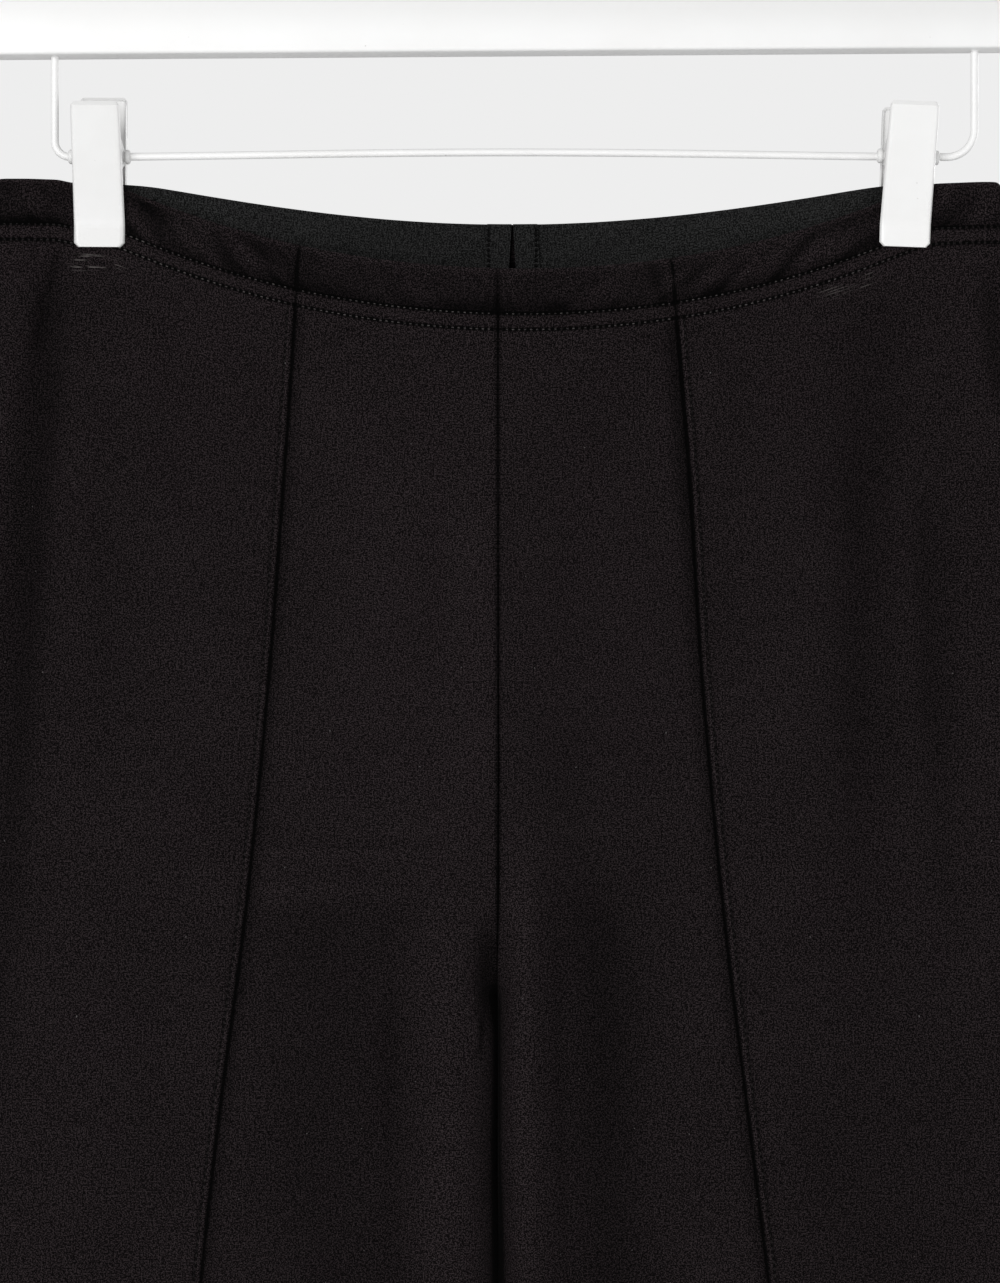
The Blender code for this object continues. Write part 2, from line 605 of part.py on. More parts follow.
def build_plate(clip, plate):
    """One stamped clip plate with two ears that turn on the wire."""
    profile = plate_profile(plate)
    out = WALLS[plate.wall]
    direction = np.gradient(profile[:, :2], axis=0)
    direction /= np.linalg.norm(direction, axis=1, keepdims=True)
    outward = np.stack([out * direction[:, 1], -out * direction[:, 0]], axis=1)
    grids = []
    for thickness in (CLIP_SHEET, 0.0):
        yz = profile[:, :2] + outward * thickness
        row = [np.stack([s * profile[:, 2], yz[:, 0], yz[:, 1]], axis=1) for s in (-1, -0.5, 0.5, 1)]
        grids.append(np.stack(row, axis=1))
    name = f"clip_{clip.side}_{plate.wall}_plate"
    body = add_wall(name, grids[0], grids[1], WHITE_COATING)
    low_y, high_y = np.interp((-WEB_HALF, WEB_HALF), profile[:, 1], profile[:, 0]) + out * CLIP_SHEET / 2
    ear = ((0, -WEB_NECK), (low_y, -WEB_HALF), (high_y, WEB_HALF), (0, WEB_NECK))
    helpers = []
    for s in (-1, 1):
        outer = s * (CLIP_WIDTH / 2 - EAR_INSET - plate.ear_inset)
        inner = outer - s * EAR_SHEET
        disc = add_cylinder("ear", EAR_RADIUS, (inner, 0, 0), (outer, 0, 0), "X", 16, WHITE_COATING)
        web = [(x, y, z) for x in (inner, outer) for y, z in ear]
        faces = [[0, 1, 2, 3], [7, 6, 5, 4], [0, 4, 5, 1], [1, 5, 6, 2], [2, 6, 7, 3], [3, 7, 4, 0]]
        helpers += [disc, add_mesh("web", web, faces, WHITE_COATING)]
        if plate.wall == "front":
            collar_end = outer + s * COLLAR_LENGTH
            helpers.append(
                add_cylinder("collar", COLLAR_RADIUS, (inner, 0, 0), (collar_end, 0, 0), "X", 16, WHITE_COATING)
            )
    cut_away(body, helpers, "UNION")
    cut_bore(body, clip)
    place_on_wire(body, clip)


def build_spring(clip):
    """The coiled spring's outer form, a tube round the wire between the ears."""
    half = CLIP_WIDTH / 2 - EAR_INSET - 2 * (EAR_SHEET + FIT_GAP)
    tube = add_cylinder(
        f"clip_{clip.side}_spring", SPRING_RADIUS, (-half, 0, 0), (half, 0, 0), "X", 16, SPRING_STEEL
    )
    cut_bore(tube, clip)
    place_on_wire(tube, clip)


def cut_bore(obj, clip):
    """Cuts the hole for the wire, which stays level while the clip leans."""
    bore = add_cylinder("bore", WIRE_ROD / 2 + FIT_GAP, (-20, 0, 0), (20, 0, 0), "X", 16, WHITE_COATING)
    bore.rotation_euler = (0, -math.radians(clip.lean_degrees), 0)
    cut_away(obj, [bore])


def place_on_wire(obj, clip):
    """Moves a clip piece from its own frame to its place on the wire, leaning as it hangs."""
    x = CLOTH_X + clip.x
    obj.location = (x * MM, 0, wire_height(x) * MM)
    obj.rotation_euler = (0, math.radians(clip.lean_degrees), 0)


def main():
    """Builds every piece of the garment and its hanger."""
    for obj in list(bpy.data.objects):
        bpy.data.objects.remove(obj)
    for side in SIDES:
        build_panels(side)
    build_elastic()
    build_turn_back("elastic_turn_back_right", -1)
    build_turn_back("elastic_turn_back_left", 1)
    build_bar()
    add_rod("hanger_hook", hook_path(), HOOK_ROD, WHITE_COATING)
    add_rod("hanger_wire", wire_path(), WIRE_ROD, WHITE_COATING)
    for clip in CLIPS:
        for plate in PLATES:
            build_plate(clip, plate)
        build_spring(clip)


main()
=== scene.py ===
"""Pull-on kick flare trousers in black stretch knit, clipped by the waist to a flat white hanger.

The garment faces -Y and hangs down -Z. Left and right are the wearer's, so the left leg is at +X.
Sizes are in millimetres. "drop" is the distance down from the hanger's wire where the clips hold the
waist, "hung" the same with the waist's sag added, "run" the distance along the cloth from its inner
edge, and "x" the distance from the centre line.
"""

import logging
import math
from dataclasses import dataclass, field
from enum import Enum
from typing import Sequence, Union

import bmesh
import bpy
import numpy as np
from mathutils import Matrix, Vector


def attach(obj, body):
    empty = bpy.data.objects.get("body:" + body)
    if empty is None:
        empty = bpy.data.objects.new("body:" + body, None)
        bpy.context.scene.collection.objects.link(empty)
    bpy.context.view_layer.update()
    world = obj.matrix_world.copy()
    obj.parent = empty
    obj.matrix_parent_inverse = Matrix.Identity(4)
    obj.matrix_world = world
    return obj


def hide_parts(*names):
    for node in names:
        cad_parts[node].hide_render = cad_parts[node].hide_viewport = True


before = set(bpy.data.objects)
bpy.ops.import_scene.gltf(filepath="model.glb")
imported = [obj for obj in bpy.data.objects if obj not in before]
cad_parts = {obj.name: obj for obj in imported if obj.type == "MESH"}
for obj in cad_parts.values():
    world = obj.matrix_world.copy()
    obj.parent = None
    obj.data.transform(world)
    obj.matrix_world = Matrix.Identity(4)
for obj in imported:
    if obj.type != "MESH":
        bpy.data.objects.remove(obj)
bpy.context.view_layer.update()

MM = 0.001
BODY = "root"
LOG = logging.getLogger("trousers")

Grid = np.ndarray
Colour = tuple[float, float, float]
Piece = bpy.types.Object
Layers = dict[str, Grid]


class Side(Enum):
    """The wearer's two sides."""

    RIGHT = "right"
    LEFT = "left"

    @property
    def sign(self) -> int:
        """-1 for the right side, which is at -X, and 1 for the left."""
        return 1 if self is Side.LEFT else -1


class Wall(Enum):
    """The two walls of the garment."""

    FRONT = "front"
    BACK = "back"

    @property
    def sign(self) -> int:
        """-1 for the front wall, which is at -Y, and 1 for the back."""
        return 1 if self is Wall.BACK else -1


class Slot(Enum):
    """The record's material slots."""

    KNIT = "black_knit"
    ELASTIC = "grey_elastic"
    PAINT = "white_paint"
    COATING = "white_coating"
    STEEL = "spring_steel"


# Sizes that the garment and the hanger share: the middle of the garment, the wire, the clips'
# distances from the middle, and the cloth between their jaws.
CENTRE_X = -6.4
CENTRE_Y = 4.0
WIRE_Z = -150.5
CLIP_X = {Side.RIGHT: 153.4, Side.LEFT: 157.9}
PINCHED_HALF = 2.1
CLOTH = 1.2

# Numbers that repeat in an uneven line and, each way, in an uneven surface.
LINE_CELLS = 1024
SURFACE_CELLS = 128

# A direction that no tube here runs in, to start a tube's ring from.
ASKEW = (0.31, 0.87, 0.38)


# --- small maths -----------------------------------------------------------------------------------


def ease(t: Grid) -> Grid:
    """A soft climb from 0 to 1 as t goes from 0 to 1, and level beyond."""
    t = np.clip(t, 0.0, 1.0)
    return t * t * (3 - 2 * t)


def bump_at(offset: Grid, half_width: float) -> Grid:
    """A rounded bump of height 1, of which a third is left at half_width from its middle."""
    return np.exp(-((offset / half_width) ** 2))


def wander(place: Grid, period: float, seed: int) -> Grid:
    """An uneven, smooth rise and fall along a line.

    Args:
        place: Where on the line.
        period: Typical length of one rise or fall.
        seed: Picks one of many such lines.

    Returns:
        Values between -1 and 1.
    """
    table = np.random.default_rng(seed).uniform(-1, 1, LINE_CELLS)
    cell = np.floor(place / period)
    t = ease(place / period - cell)
    cell = cell.astype(int)
    return table[cell % LINE_CELLS] * (1 - t) + table[(cell + 1) % LINE_CELLS] * t


def drift(across: Grid, down: Grid, period: tuple[float, float], seed: int) -> Grid:
    """An uneven, smooth rise and fall over a surface.

    Args:
        across: First coordinate.
        down: Second coordinate.
        period: Typical lengths of one rise or fall each way.
        seed: Picks one of many such surfaces.

    Returns:
        Values between -1 and 1.
    """
    table = np.random.default_rng(seed).uniform(-1, 1, (SURFACE_CELLS, SURFACE_CELLS))
    u, v = np.broadcast_arrays(across / period[0], down / period[1])
    i, j = np.floor(u).astype(int), np.floor(v).astype(int)
    s, t = ease(u - i), ease(v - j)
    i, j = i % SURFACE_CELLS, j % SURFACE_CELLS
    next_i, next_j = (i + 1) % SURFACE_CELLS, (j + 1) % SURFACE_CELLS
    near = table[i, j] * (1 - s) + table[next_i, j] * s
    far = table[i, next_j] * (1 - s) + table[next_i, next_j] * s
    return near * (1 - t) + far * t


@dataclass(frozen=True)
class Curve:
    """A smooth curve through measured values."""

    places: tuple[float, ...]
    values: tuple[float, ...]

    def at(self, place: Grid) -> Grid:
        """Reads the curve.

        Args:
            place: Where, clipped to the measured range.

        Returns:
            The value there.
        """
        knots, values = np.array(self.places, float), np.array(self.values, float)
        slopes = np.gradient(values, knots)
        place = np.clip(place, knots[0], knots[-1])
        i = np.clip(np.searchsorted(knots, place) - 1, 0, len(knots) - 2)
        span = knots[i + 1] - knots[i]
        t = (place - knots[i]) / span
        start = values[i] * (1 + 2 * t) * (1 - t) ** 2 + slopes[i] * span * t * (1 - t) ** 2
        end = values[i + 1] * t * t * (3 - 2 * t) + slopes[i + 1] * span * t * t * (t - 1)
        return start + end


# --- the finishes' node graphs -----------------------------------------------------------------------


class Signal:
    """A socket that can be used in sums: each sum adds its Math node."""

    def __init__(self, graph: "FinishGraph", socket: bpy.types.NodeSocket) -> None:
        """Wraps an output socket of a finish's graph."""
        self.graph = graph
        self.socket = socket

    def _sum(self, operation: str, first: "Operand", second: "Operand") -> "Signal":
        """The Math node of an operation on two operands."""
        return self.graph.add("ShaderNodeMath", {"operation": operation}, {0: first, 1: second})

    def __add__(self, other: "Operand") -> "Signal":
        """self + other."""
        return self._sum("ADD", self, other)

    def __radd__(self, other: "Operand") -> "Signal":
        """other + self."""
        return self._sum("ADD", other, self)

    def __sub__(self, other: "Operand") -> "Signal":
        """self - other."""
        return self._sum("SUBTRACT", self, other)

    def __rsub__(self, other: "Operand") -> "Signal":
        """other - self."""
        return self._sum("SUBTRACT", other, self)

    def __mul__(self, other: "Operand") -> "Signal":
        """self * other."""
        return self._sum("MULTIPLY", self, other)

    def __rmul__(self, other: "Operand") -> "Signal":
        """other * self."""
        return self._sum("MULTIPLY", other, self)

    def __truediv__(self, other: "Operand") -> "Signal":
        """self / other."""
        return self._sum("DIVIDE", self, other)


Operand = Union[Signal, float]
Setting = Union[str, bool]


class FinishGraph:
    """The node graph of one material, with the few kinds of step that the finishes use."""

    def __init__(self, name: str) -> None:
        """Starts an empty material.

        Args:
            name: The material's name.
        """
        self.material = bpy.data.materials.new(name)
        self.material.use_nodes = True
        self.nodes = self.material.node_tree.nodes
        self.links = self.material.node_tree.links
        self.shader = self.nodes["Principled BSDF"]

    def put(self, node: bpy.types.Node, inputs: dict) -> None:
        """Fills a node's sockets.

        Args:
            node: The node.
            inputs: Values or signals by socket name or number.
        """
        for key, value in inputs.items():
            if isinstance(value, Signal):
                self.links.new(value.socket, node.inputs[key])
            elif isinstance(value, tuple) and len(value) == 3 and node.inputs[key].type == "RGBA":
                node.inputs[key].default_value = (*value, 1.0)
            else:
                node.inputs[key].default_value = value

    def add(self, kind: str, settings: dict[str, Setting], inputs: dict, output: int = 0) -> Signal:
        """Adds a node.

        Args:
            kind: The node's type.
            settings: Its own settings, set first.
            inputs: Values or signals by socket name or number.
            output: Which of its outputs is used.

        Returns:
            That output.
        """
        node = self.nodes.new(kind)
        for name, value in settings.items():
            setattr(node, name, value)
        self.put(node, inputs)
        return Signal(self, node.outputs[output])

    def coordinates(self, layer: str) -> Signal:
        """The vector of a named UV layer."""
        return self.add("ShaderNodeUVMap", {"uv_map": layer}, {})

    def place(self) -> Signal:
        """The place on the object, in metres."""
        return self.add("ShaderNodeTexCoord", {}, {}, 3)

    def stretched(self, vector: Signal, scale: tuple[float, float, float]) -> Signal:
        """A vector with each of its numbers multiplied."""
        return self.add("ShaderNodeVectorMath", {"operation": "MULTIPLY"}, {0: vector, 1: scale})

    def part(self, vector: Signal, axis: int) -> Signal:
        """One number of a vector."""
        return self.add("ShaderNodeSeparateXYZ", {}, {0: vector}, axis)

    def noise(self, vector: Signal, scale: tuple[float, float, float], detail: float = 2.0) -> Signal:
        """Cloudy noise between 0 and 1, at so many clouds a metre each way."""
        inputs = {"Vector": self.stretched(vector, scale), "Scale": 1.0, "Detail": detail, "Roughness": 0.6}
        return self.add("ShaderNodeTexNoise", {}, inputs)

    def step(self, value: Signal, low: float, high: float, top: float = 1.0) -> Signal:
        """A soft climb from 0 at low to top at high; low may be the larger."""
        inputs = {"Value": value, "From Min": low, "From Max": high, "To Min": 0.0, "To Max": top}
        return self.add("ShaderNodeMapRange", {"interpolation_type": "SMOOTHSTEP"}, inputs)

    def mix(self, factor: Operand, first: object, second: object) -> Signal:
        """A colour between two."""
        node = {"data_type": "RGBA", "clamp_factor": True}
        return self.add("ShaderNodeMix", node, {0: factor, 6: first, 7: second}, 2)

    def scaled(self, colour: Signal, factor: Signal) -> Signal:
        """A colour made lighter or darker by a factor."""
        return self.add("ShaderNodeVectorMath", {"operation": "SCALE"}, {0: colour, "Scale": factor})

    def at_least(self, value: Signal, low: float) -> Signal:
        """A value kept from falling below a low."""
        return self.add("ShaderNodeMath", {"operation": "MAXIMUM"}, {0: value, 1: low})

    def bump(self, height: Signal, strength: float, distance: float) -> Signal:
        """The normal of a surface raised by height, with distance in metres."""
        inputs = {"Height": height, "Strength": strength, "Distance": distance}
        return self.add("ShaderNodeBump", {}, inputs)

    def near(self, value: Signal, middle: float, far: float, near: float) -> Signal:
        """1 where a value is within near of a middle, and 0 beyond far of it."""
        off = self.add("ShaderNodeMath", {"operation": "ABSOLUTE"}, {0: value - middle})
        return self.step(off, far, near)

    def phase(self, value: Signal, pitch: float) -> Signal:
        """0 at every whole number of pitches, and 0.5 half-way between."""
        return self.add("ShaderNodeMath", {"operation": "PINGPONG"}, {0: value / pitch, 1: 0.5})


@dataclass(frozen=True)
class Finish:
    """A finish that colours and roughens a surface."""

    name: str
    colour: Colour
    roughness: float
    slot: Slot = Slot.KNIT

    def graph(self) -> FinishGraph:
        """The material's node graph.

        Returns:
            The graph, with its plain values and what varies.
        """
        graph = FinishGraph(self.name)
        graph.put(graph.shader, {"Base Color": self.colour, "Roughness": self.roughness})
        self.detail(graph)
        return graph

    def detail(self, graph: FinishGraph) -> None:
        """Adds what varies over the surface to the graph."""

    def coat(self, piece: Piece) -> None:
        """Gives a piece this finish, in place of any other.

        Args:
            piece: The piece.
        """
        material = bpy.data.materials.get(self.name) or self.graph().material
        piece.data.materials.clear()
        piece.data.materials.append(material)

    def dress(self, piece: Piece, *nodes: str) -> Piece:
        """Coats a piece that is in place, puts it on the body and hides the source's parts that it stands
        for.

        Args:
            piece: The piece.
            nodes: The source's nodes that it replaces.

        Returns:
            The piece.
        """
        self.coat(piece)
        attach(piece, BODY)
        if nodes:
            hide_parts(*nodes)
        return piece


@dataclass(frozen=True)
class Scuff:
    """A patch of fine pale lines where a clip has rubbed the cloth."""

    run: float
    drop: float
    half_width: float
    half_height: float
    strength: float


@dataclass(frozen=True)
class KnitFinish(Finish):
    """Black stretch knit: fine wales, soft mottling, needle holes, rubbed lines, lint, and painted light
    and shade.
    """

    light: Colour = (0.0243, 0.0187, 0.0202)
    hole_shade_colour: Colour = (0.0008, 0.0007, 0.0007)
    rubbed_colour: Colour = (0.13, 0.12, 0.115)
    lint_colour: Colour = (0.2, 0.19, 0.19)
    darkest_painted_shade: float = 0.06
    thread_pitch: float = 2.3
    seam_pitch: float = 2.6
    rows: tuple[float, ...] = (26.8, 32.8)
    scuff: Scuff | None = None

    def detail(self, graph: FinishGraph) -> None:
        """Adds grain, mottling, painted light and shade, needle holes, rubbed lines and lint.

        Args:
            graph: The material's graph, which is added to.
        """
        cloth = graph.coordinates("cloth")
        # The tone layer holds painted light and shade: highlights on ridges, shade in creases, seams and
        # gaps.
        tone = graph.part(graph.coordinates("tone"), 0)
        grain = graph.noise(cloth, (2100.0, 1820.0, 1.0), 1.0)
        clumps = graph.noise(cloth, (1150.0, 980.0, 1.0), 2.0)
        wales = graph.noise(cloth, (1500.0, 170.0, 1.0), 1.0)
        mottle = graph.noise(cloth, (30.0, 22.0, 1.0), 4.0)
        shade = graph.step(grain * 0.64 + clumps * 0.25 + wales * 0.11, 0.46, 0.59)
        colour = graph.mix(shade * 0.94 + mottle * 0.3 - 0.2, self.colour, self.light)
        holes = self.needle_holes(graph, cloth, graph.coordinates("seam"))
        # Painted shade in the needle holes.
        colour = graph.mix(holes, colour, self.hole_shade_colour)
        # Painted light and shade from the tone layer scale the colour, never below the darkest factor.
        colour = graph.scaled(colour, graph.at_least(tone + 1.0, self.darkest_painted_shade))
        colour = graph.mix(self.rubbed_lines(graph, cloth), colour, self.rubbed_colour)
        lint = graph.noise(cloth, (620.0, 470.0, 1.0), 1.0)
        colour = graph.mix(graph.step(lint, 0.795, 0.825) * 0.32, colour, self.lint_colour)
        normal = graph.bump(grain * 0.8 + wales * 0.4 - holes * 2.5, 0.6, 0.0002)
        rough = grain * 0.16 + (self.roughness - 0.08)
        graph.put(graph.shader, {"Base Color": colour, "Roughness": rough, "Normal": normal})
        graph.put(graph.shader, {"Sheen Weight": 0.015, "Sheen Roughness": 0.45})
        graph.put(graph.shader, {"Sheen Tint": (0.75, 0.7, 0.7), "Specular IOR Level": 0.035})

    def needle_holes(self, graph: FinishGraph, cloth: Signal, seam: Signal) -> Signal:
        """A mask of the holes that the thread goes through, for their painted shade and their dents.

        Args:
            graph: The material's graph.
            cloth: Run and drop on the cloth, in metres.
            seam: Distance from the front seam and drop, in metres.

        Returns:
            1 in a hole and 0 elsewhere.
        """
        run, down = graph.part(cloth, 0), graph.part(cloth, 1)
        along = graph.step(graph.phase(run, self.thread_pitch * MM), 0.36, 0.2)
        holes = sum(graph.near(down, row * MM, 0.00095, 0.00045) * along for row in self.rows)
        along_seam = graph.step(graph.phase(graph.part(seam, 1), self.seam_pitch * MM), 0.34, 0.18)
        beside_seam = graph.near(graph.part(seam, 0), 0.0025, 0.0006, 0.0002) * along_seam
        return holes + beside_seam * graph.step(down, 0.0332, 0.0342) * 0.8

    def rubbed_lines(self, graph: FinishGraph, cloth: Signal) -> Signal:
        """A mask of the fine pale lines below the clip.

        Args:
            graph: The material's graph.
            cloth: Run and drop on the cloth, in metres.

        Returns:
            How strongly a line shows.
        """
        scuff = self.scuff
        lines = graph.step(graph.noise(cloth, (48.0, 1650.0, 1.0), 1.0), 0.56, 0.7)
        lines = lines * graph.step(graph.noise(cloth, (190.0, 1300.0, 1.0), 1.0), 0.36, 0.56)
        wide, high = scuff.half_width * MM, scuff.half_height * MM
        patch = graph.near(graph.part(cloth, 0), scuff.run * MM, wide, 0.6 * wide)
        patch = patch * graph.near(graph.part(cloth, 1), scuff.drop * MM, high, 0.5 * high)
        return lines * patch * scuff.strength


@dataclass(frozen=True)
class ThreadFinish(Finish):
    """Sewing thread, a little lighter than the cloth, with its twist; it sinks in beside the clips."""

    shown_to: float = 0.13

    def detail(self, graph: FinishGraph) -> None:
        """Adds the twist and an uneven tone.

        Args:
            graph: The material's graph, which is added to.
        """
        place = graph.place()
        tone = graph.noise(place, (600.0, 600.0, 600.0), 1.0)
        twist = graph.noise(place, (5200.0, 5200.0, 5200.0), 0.0)
        between_clips = graph.near(graph.part(place, 0), -0.012, self.shown_to + 0.05, self.shown_to)
        shown = graph.step(tone, 0.3, 0.62) * between_clips
        darker = tuple(0.14 * value for value in self.colour)
        colour = graph.mix(shown, darker, self.colour)
        graph.put(graph.shader, {"Base Color": colour, "Normal": graph.bump(twist, 0.4, 0.00008)})
        graph.put(graph.shader, {"Specular IOR Level": 0.1})


@dataclass(frozen=True)
class ElasticFinish(Finish):
    """Knitted elastic: dark grey yarn over fine ribs along its length."""

    light: Colour = (0.0245, 0.0246, 0.0246)
    rib: float = 1.35

    def detail(self, graph: FinishGraph) -> None:
        """Adds the ribs, the yarn's grain and a soft cloud.

        Args:
            graph: The material's graph, which is added to.
        """
        strip = graph.coordinates("cloth")
        grain = graph.noise(strip, (1900.0, 1650.0, 1.0), 2.0)
        yarn = graph.noise(strip, (1700.0, 300.0, 1.0), 1.0)
        ribs = graph.phase(graph.part(strip, 1), self.rib * MM) * 2.0
        cloud = graph.noise(strip, (45.0, 90.0, 1.0), 2.0)
        shade = graph.step(grain * 0.76 + yarn * 0.24, 0.43, 0.61) + ribs * 0.12 + cloud * 0.36 - 0.27
        colour = graph.mix(shade, self.colour, self.light)
        normal = graph.bump(grain * 0.8 + ribs * 0.8 + yarn * 0.5, 0.5, 0.0002)
        graph.put(graph.shader, {"Base Color": colour, "Normal": normal})
        graph.put(graph.shader, {"Sheen Weight": 0.02, "Sheen Roughness": 0.5, "Specular IOR Level": 0.05})


@dataclass(frozen=True)
class WhiteFinish(Finish):
    """White paint or coating: faintly uneven, with a fine orange-peel surface of so many dimples a metre.

    Between the two heights given for it, in millimetres, it turns a little darker: painted shade.
    """

    shadow: Colour = (0.77, 0.768, 0.762)
    peel: float = 1400.0
    shaded_heights: tuple[float, float] | None = None
    peel_height: float = 0.00003
    speck_colour: Colour = (0.35, 0.33, 0.31)

    def detail(self, graph: FinishGraph) -> None:
        """Adds the uneven tone, tiny specks, the orange peel and, between the given heights, painted shade.

        Args:
            graph: The material's graph, which is added to.
        """
        place = graph.place()
        cloud = graph.noise(place, (24.0, 24.0, 24.0), 3.0)
        fine = graph.noise(place, (self.peel,) * 3, 1.0)
        speck = graph.noise(place, (620.0, 620.0, 620.0), 0.0)
        colour = graph.mix(graph.step(cloud, 0.3, 0.75), self.colour, self.shadow)
        colour = graph.mix(graph.step(speck, 0.86, 0.9) * 0.4, colour, self.speck_colour)
        # Painted shade: a darker colour between the given heights.
        if self.shaded_heights:
            low, high = (height * MM for height in self.shaded_heights)
            painted_shade_colour = tuple(0.9 * value for value in self.shadow)
            colour = graph.mix(graph.step(graph.part(place, 2), low, high), colour, painted_shade_colour)
        rough = fine * 0.12 + (self.roughness - 0.06)
        normal = graph.bump(fine, 0.3, self.peel_height)
        graph.put(graph.shader, {"Base Color": colour, "Roughness": rough, "Normal": normal})


@dataclass(frozen=True)
class SteelFinish(Finish):
    """Bare spring wire with fine drawing marks."""

    def detail(self, graph: FinishGraph) -> None:
        """Adds the drawing marks and faint dull patches.

        Args:
            graph: The material's graph, which is added to.
        """
        place = graph.place()
        marks = graph.noise(place, (400.0, 3000.0, 3000.0), 2.0)
        dull = graph.noise(place, (180.0, 180.0, 180.0), 2.0)
        rough = marks * 0.15 + dull * 0.2 + (self.roughness - 0.15)
        colour = graph.mix(graph.step(dull, 0.45, 0.8), self.colour, (0.3, 0.29, 0.27))
        graph.put(graph.shader, {"Metallic": 1.0, "Base Color": colour, "Roughness": rough})
        graph.put(graph.shader, {"Normal": graph.bump(marks, 0.2, 0.00003)})


@dataclass(frozen=True)
class FloorFinish(Finish):
    """A plain pale floor."""

    def detail(self, graph: FinishGraph) -> None:
        """Adds a faint cloud to the floor.

        Args:
            graph: The material's graph, which is added to.
        """
        cloud = graph.noise(graph.place(), (3.0, 3.0, 3.0), 2.0)
        darker = tuple(0.97 * value for value in self.colour)
        graph.put(graph.shader, {"Base Color": graph.mix(cloud, self.colour, darker)})


SCUFFS = {
    Side.RIGHT: Scuff(154.5, 39.8, 12.5, 4.2, 0.702),
    Side.LEFT: Scuff(134.5, 37.0, 13.5, 3.4, 0.585),
}
KNITS = {
    (side, wall): KnitFinish(
        f"knit_{side.value}_{wall.value}", (0.0011, 0.0007, 0.0008), 0.86, scuff=SCUFFS[side]
    )
    for side in Side
    for wall in Wall
}
THREAD = ThreadFinish("sewing_thread", (0.072, 0.066, 0.065), 0.55)
SEAM_THREAD = ThreadFinish("seam_thread", (0.016, 0.0135, 0.0135), 0.6)
DARK_THREAD = ThreadFinish("elastic_thread", (0.0004, 0.0004, 0.0004), 0.7, Slot.ELASTIC)
ELASTIC = ElasticFinish("knitted_elastic", (0.0015, 0.0016, 0.0016), 0.8, Slot.ELASTIC)
# The bar's paint turns darker towards its top: painted shade.
PAINT = WhiteFinish(
    "bar_paint", (0.775, 0.775, 0.773), 0.42, Slot.PAINT, (0.75, 0.748, 0.743), 900.0, (-107.0, -88.0)
)
COATING = WhiteFinish("wire_coating", (0.8, 0.8, 0.798), 0.38, Slot.COATING)
# Lit and shaded copies of one clip coating: the right clip is painted darker than the left, and darker
# again towards its jaw's bottom, as painted shade.
CLIP_PAINTED_LIGHT_TONES = {
    Side.RIGHT: ((0.73, 0.73, 0.728), (0.7, 0.698, 0.692), (-175.3, -178.3)),
    Side.LEFT: ((0.785, 0.785, 0.783), (0.755, 0.753, 0.747), None),
}
CLIP_PAINTED_LIGHT_COATINGS = {
    side: WhiteFinish(
        f"clip_coating_{side.value}", colour, 0.34, Slot.COATING, shadow=shadow, shaded_heights=shaded_heights
    )
    for side, (colour, shadow, shaded_heights) in CLIP_PAINTED_LIGHT_TONES.items()
}
STEEL = SteelFinish("spring_wire", (0.55, 0.55, 0.53), 0.32, Slot.STEEL)


# --- meshes ----------------------------------------------------------------------------------------


def linked(name: str, data: bpy.types.ID) -> Piece:
    """A new object with that data, linked to the scene.

    Args:
        name: Its name.
        data: Its mesh, lamp or camera.

    Returns:
        The object.
    """
    piece = bpy.data.objects.new(name, data)
    bpy.context.scene.collection.objects.link(piece)
    return piece


def smooth_piece(name: str, shell: bmesh.types.BMesh, mesh: bpy.types.Mesh, sharp: float = 48) -> Piece:
    """A piece with smooth faces but for its sharp edges.

    Args:
        name: The piece's name.
        shell: The finished faces, which are freed.
        mesh: The mesh that takes them.
        sharp: The angle in degrees from which an edge is sharp.

    Returns:
        The piece.
    """
    shell.to_mesh(mesh)
    shell.free()
    mesh.shade_smooth()
    mesh.set_sharp_from_angle(angle=math.radians(sharp))
    return linked(name, mesh)


def mesh_piece(name: str, points: Grid, faces: list, layers: Layers | None = None) -> Piece:
    """A smooth mesh piece.

    Args:
        name: The piece's name.
        points: Its corners in millimetres.
        faces: Corner numbers of each face.
        layers: UV layers by name, each with a pair of numbers for each corner.

    Returns:
        The piece.
    """
    mesh = bpy.data.meshes.new(name)
    mesh.from_pydata((np.asarray(points, float) * MM).tolist(), [], faces)
    corners = np.empty(len(mesh.loops), dtype=np.int64)
    mesh.loops.foreach_get("vertex_index", corners)
    for layer, values in (layers or {}).items():
        uv = mesh.uv_layers.new(name=layer)
        uv.uv.foreach_set("vector", np.asarray(values, np.float32)[corners].ravel())
    shell = bmesh.new()
    shell.from_mesh(mesh)
    bmesh.ops.recalc_face_normals(shell, faces=shell.faces)
    return smooth_piece(name, shell, mesh)


def wall_piece(name: str, outside: Grid, inside: Grid, layers: Layers | None = None) -> Piece:
    """A closed wall between two grids of points that face each other.

    Args:
        name: The piece's name.
        outside: Rows and columns of points in millimetres.
        inside: As many points, facing the outside's.
        layers: UV layers by name, with a pair of numbers for each point of a grid.

    Returns:
        The piece.
    """
    rows, columns = outside.shape[:2]
    index = np.arange(rows * columns).reshape(rows, columns)
    far = index + rows * columns
    faces: list = []
    for grid in (index, far[:, ::-1]):
        quads = np.stack([grid[:-1, :-1], grid[:-1, 1:], grid[1:, 1:], grid[1:, :-1]], -1)
        faces += quads.reshape(-1, 4).tolist()
    rim = np.concatenate([index[0], index[1:, -1], index[-1, -2::-1], index[-2:0:-1, 0]])
    shift = rows * columns
    faces += [[a, a + shift, b + shift, b] for a, b in zip(rim.tolist(), np.roll(rim, -1).tolist())]
    points = np.concatenate([outside.reshape(-1, 3), inside.reshape(-1, 3)])
    both = {key: np.tile(value.reshape(-1, 2), (2, 1)) for key, value in (layers or {}).items()}
    return mesh_piece(name, points, faces, both)


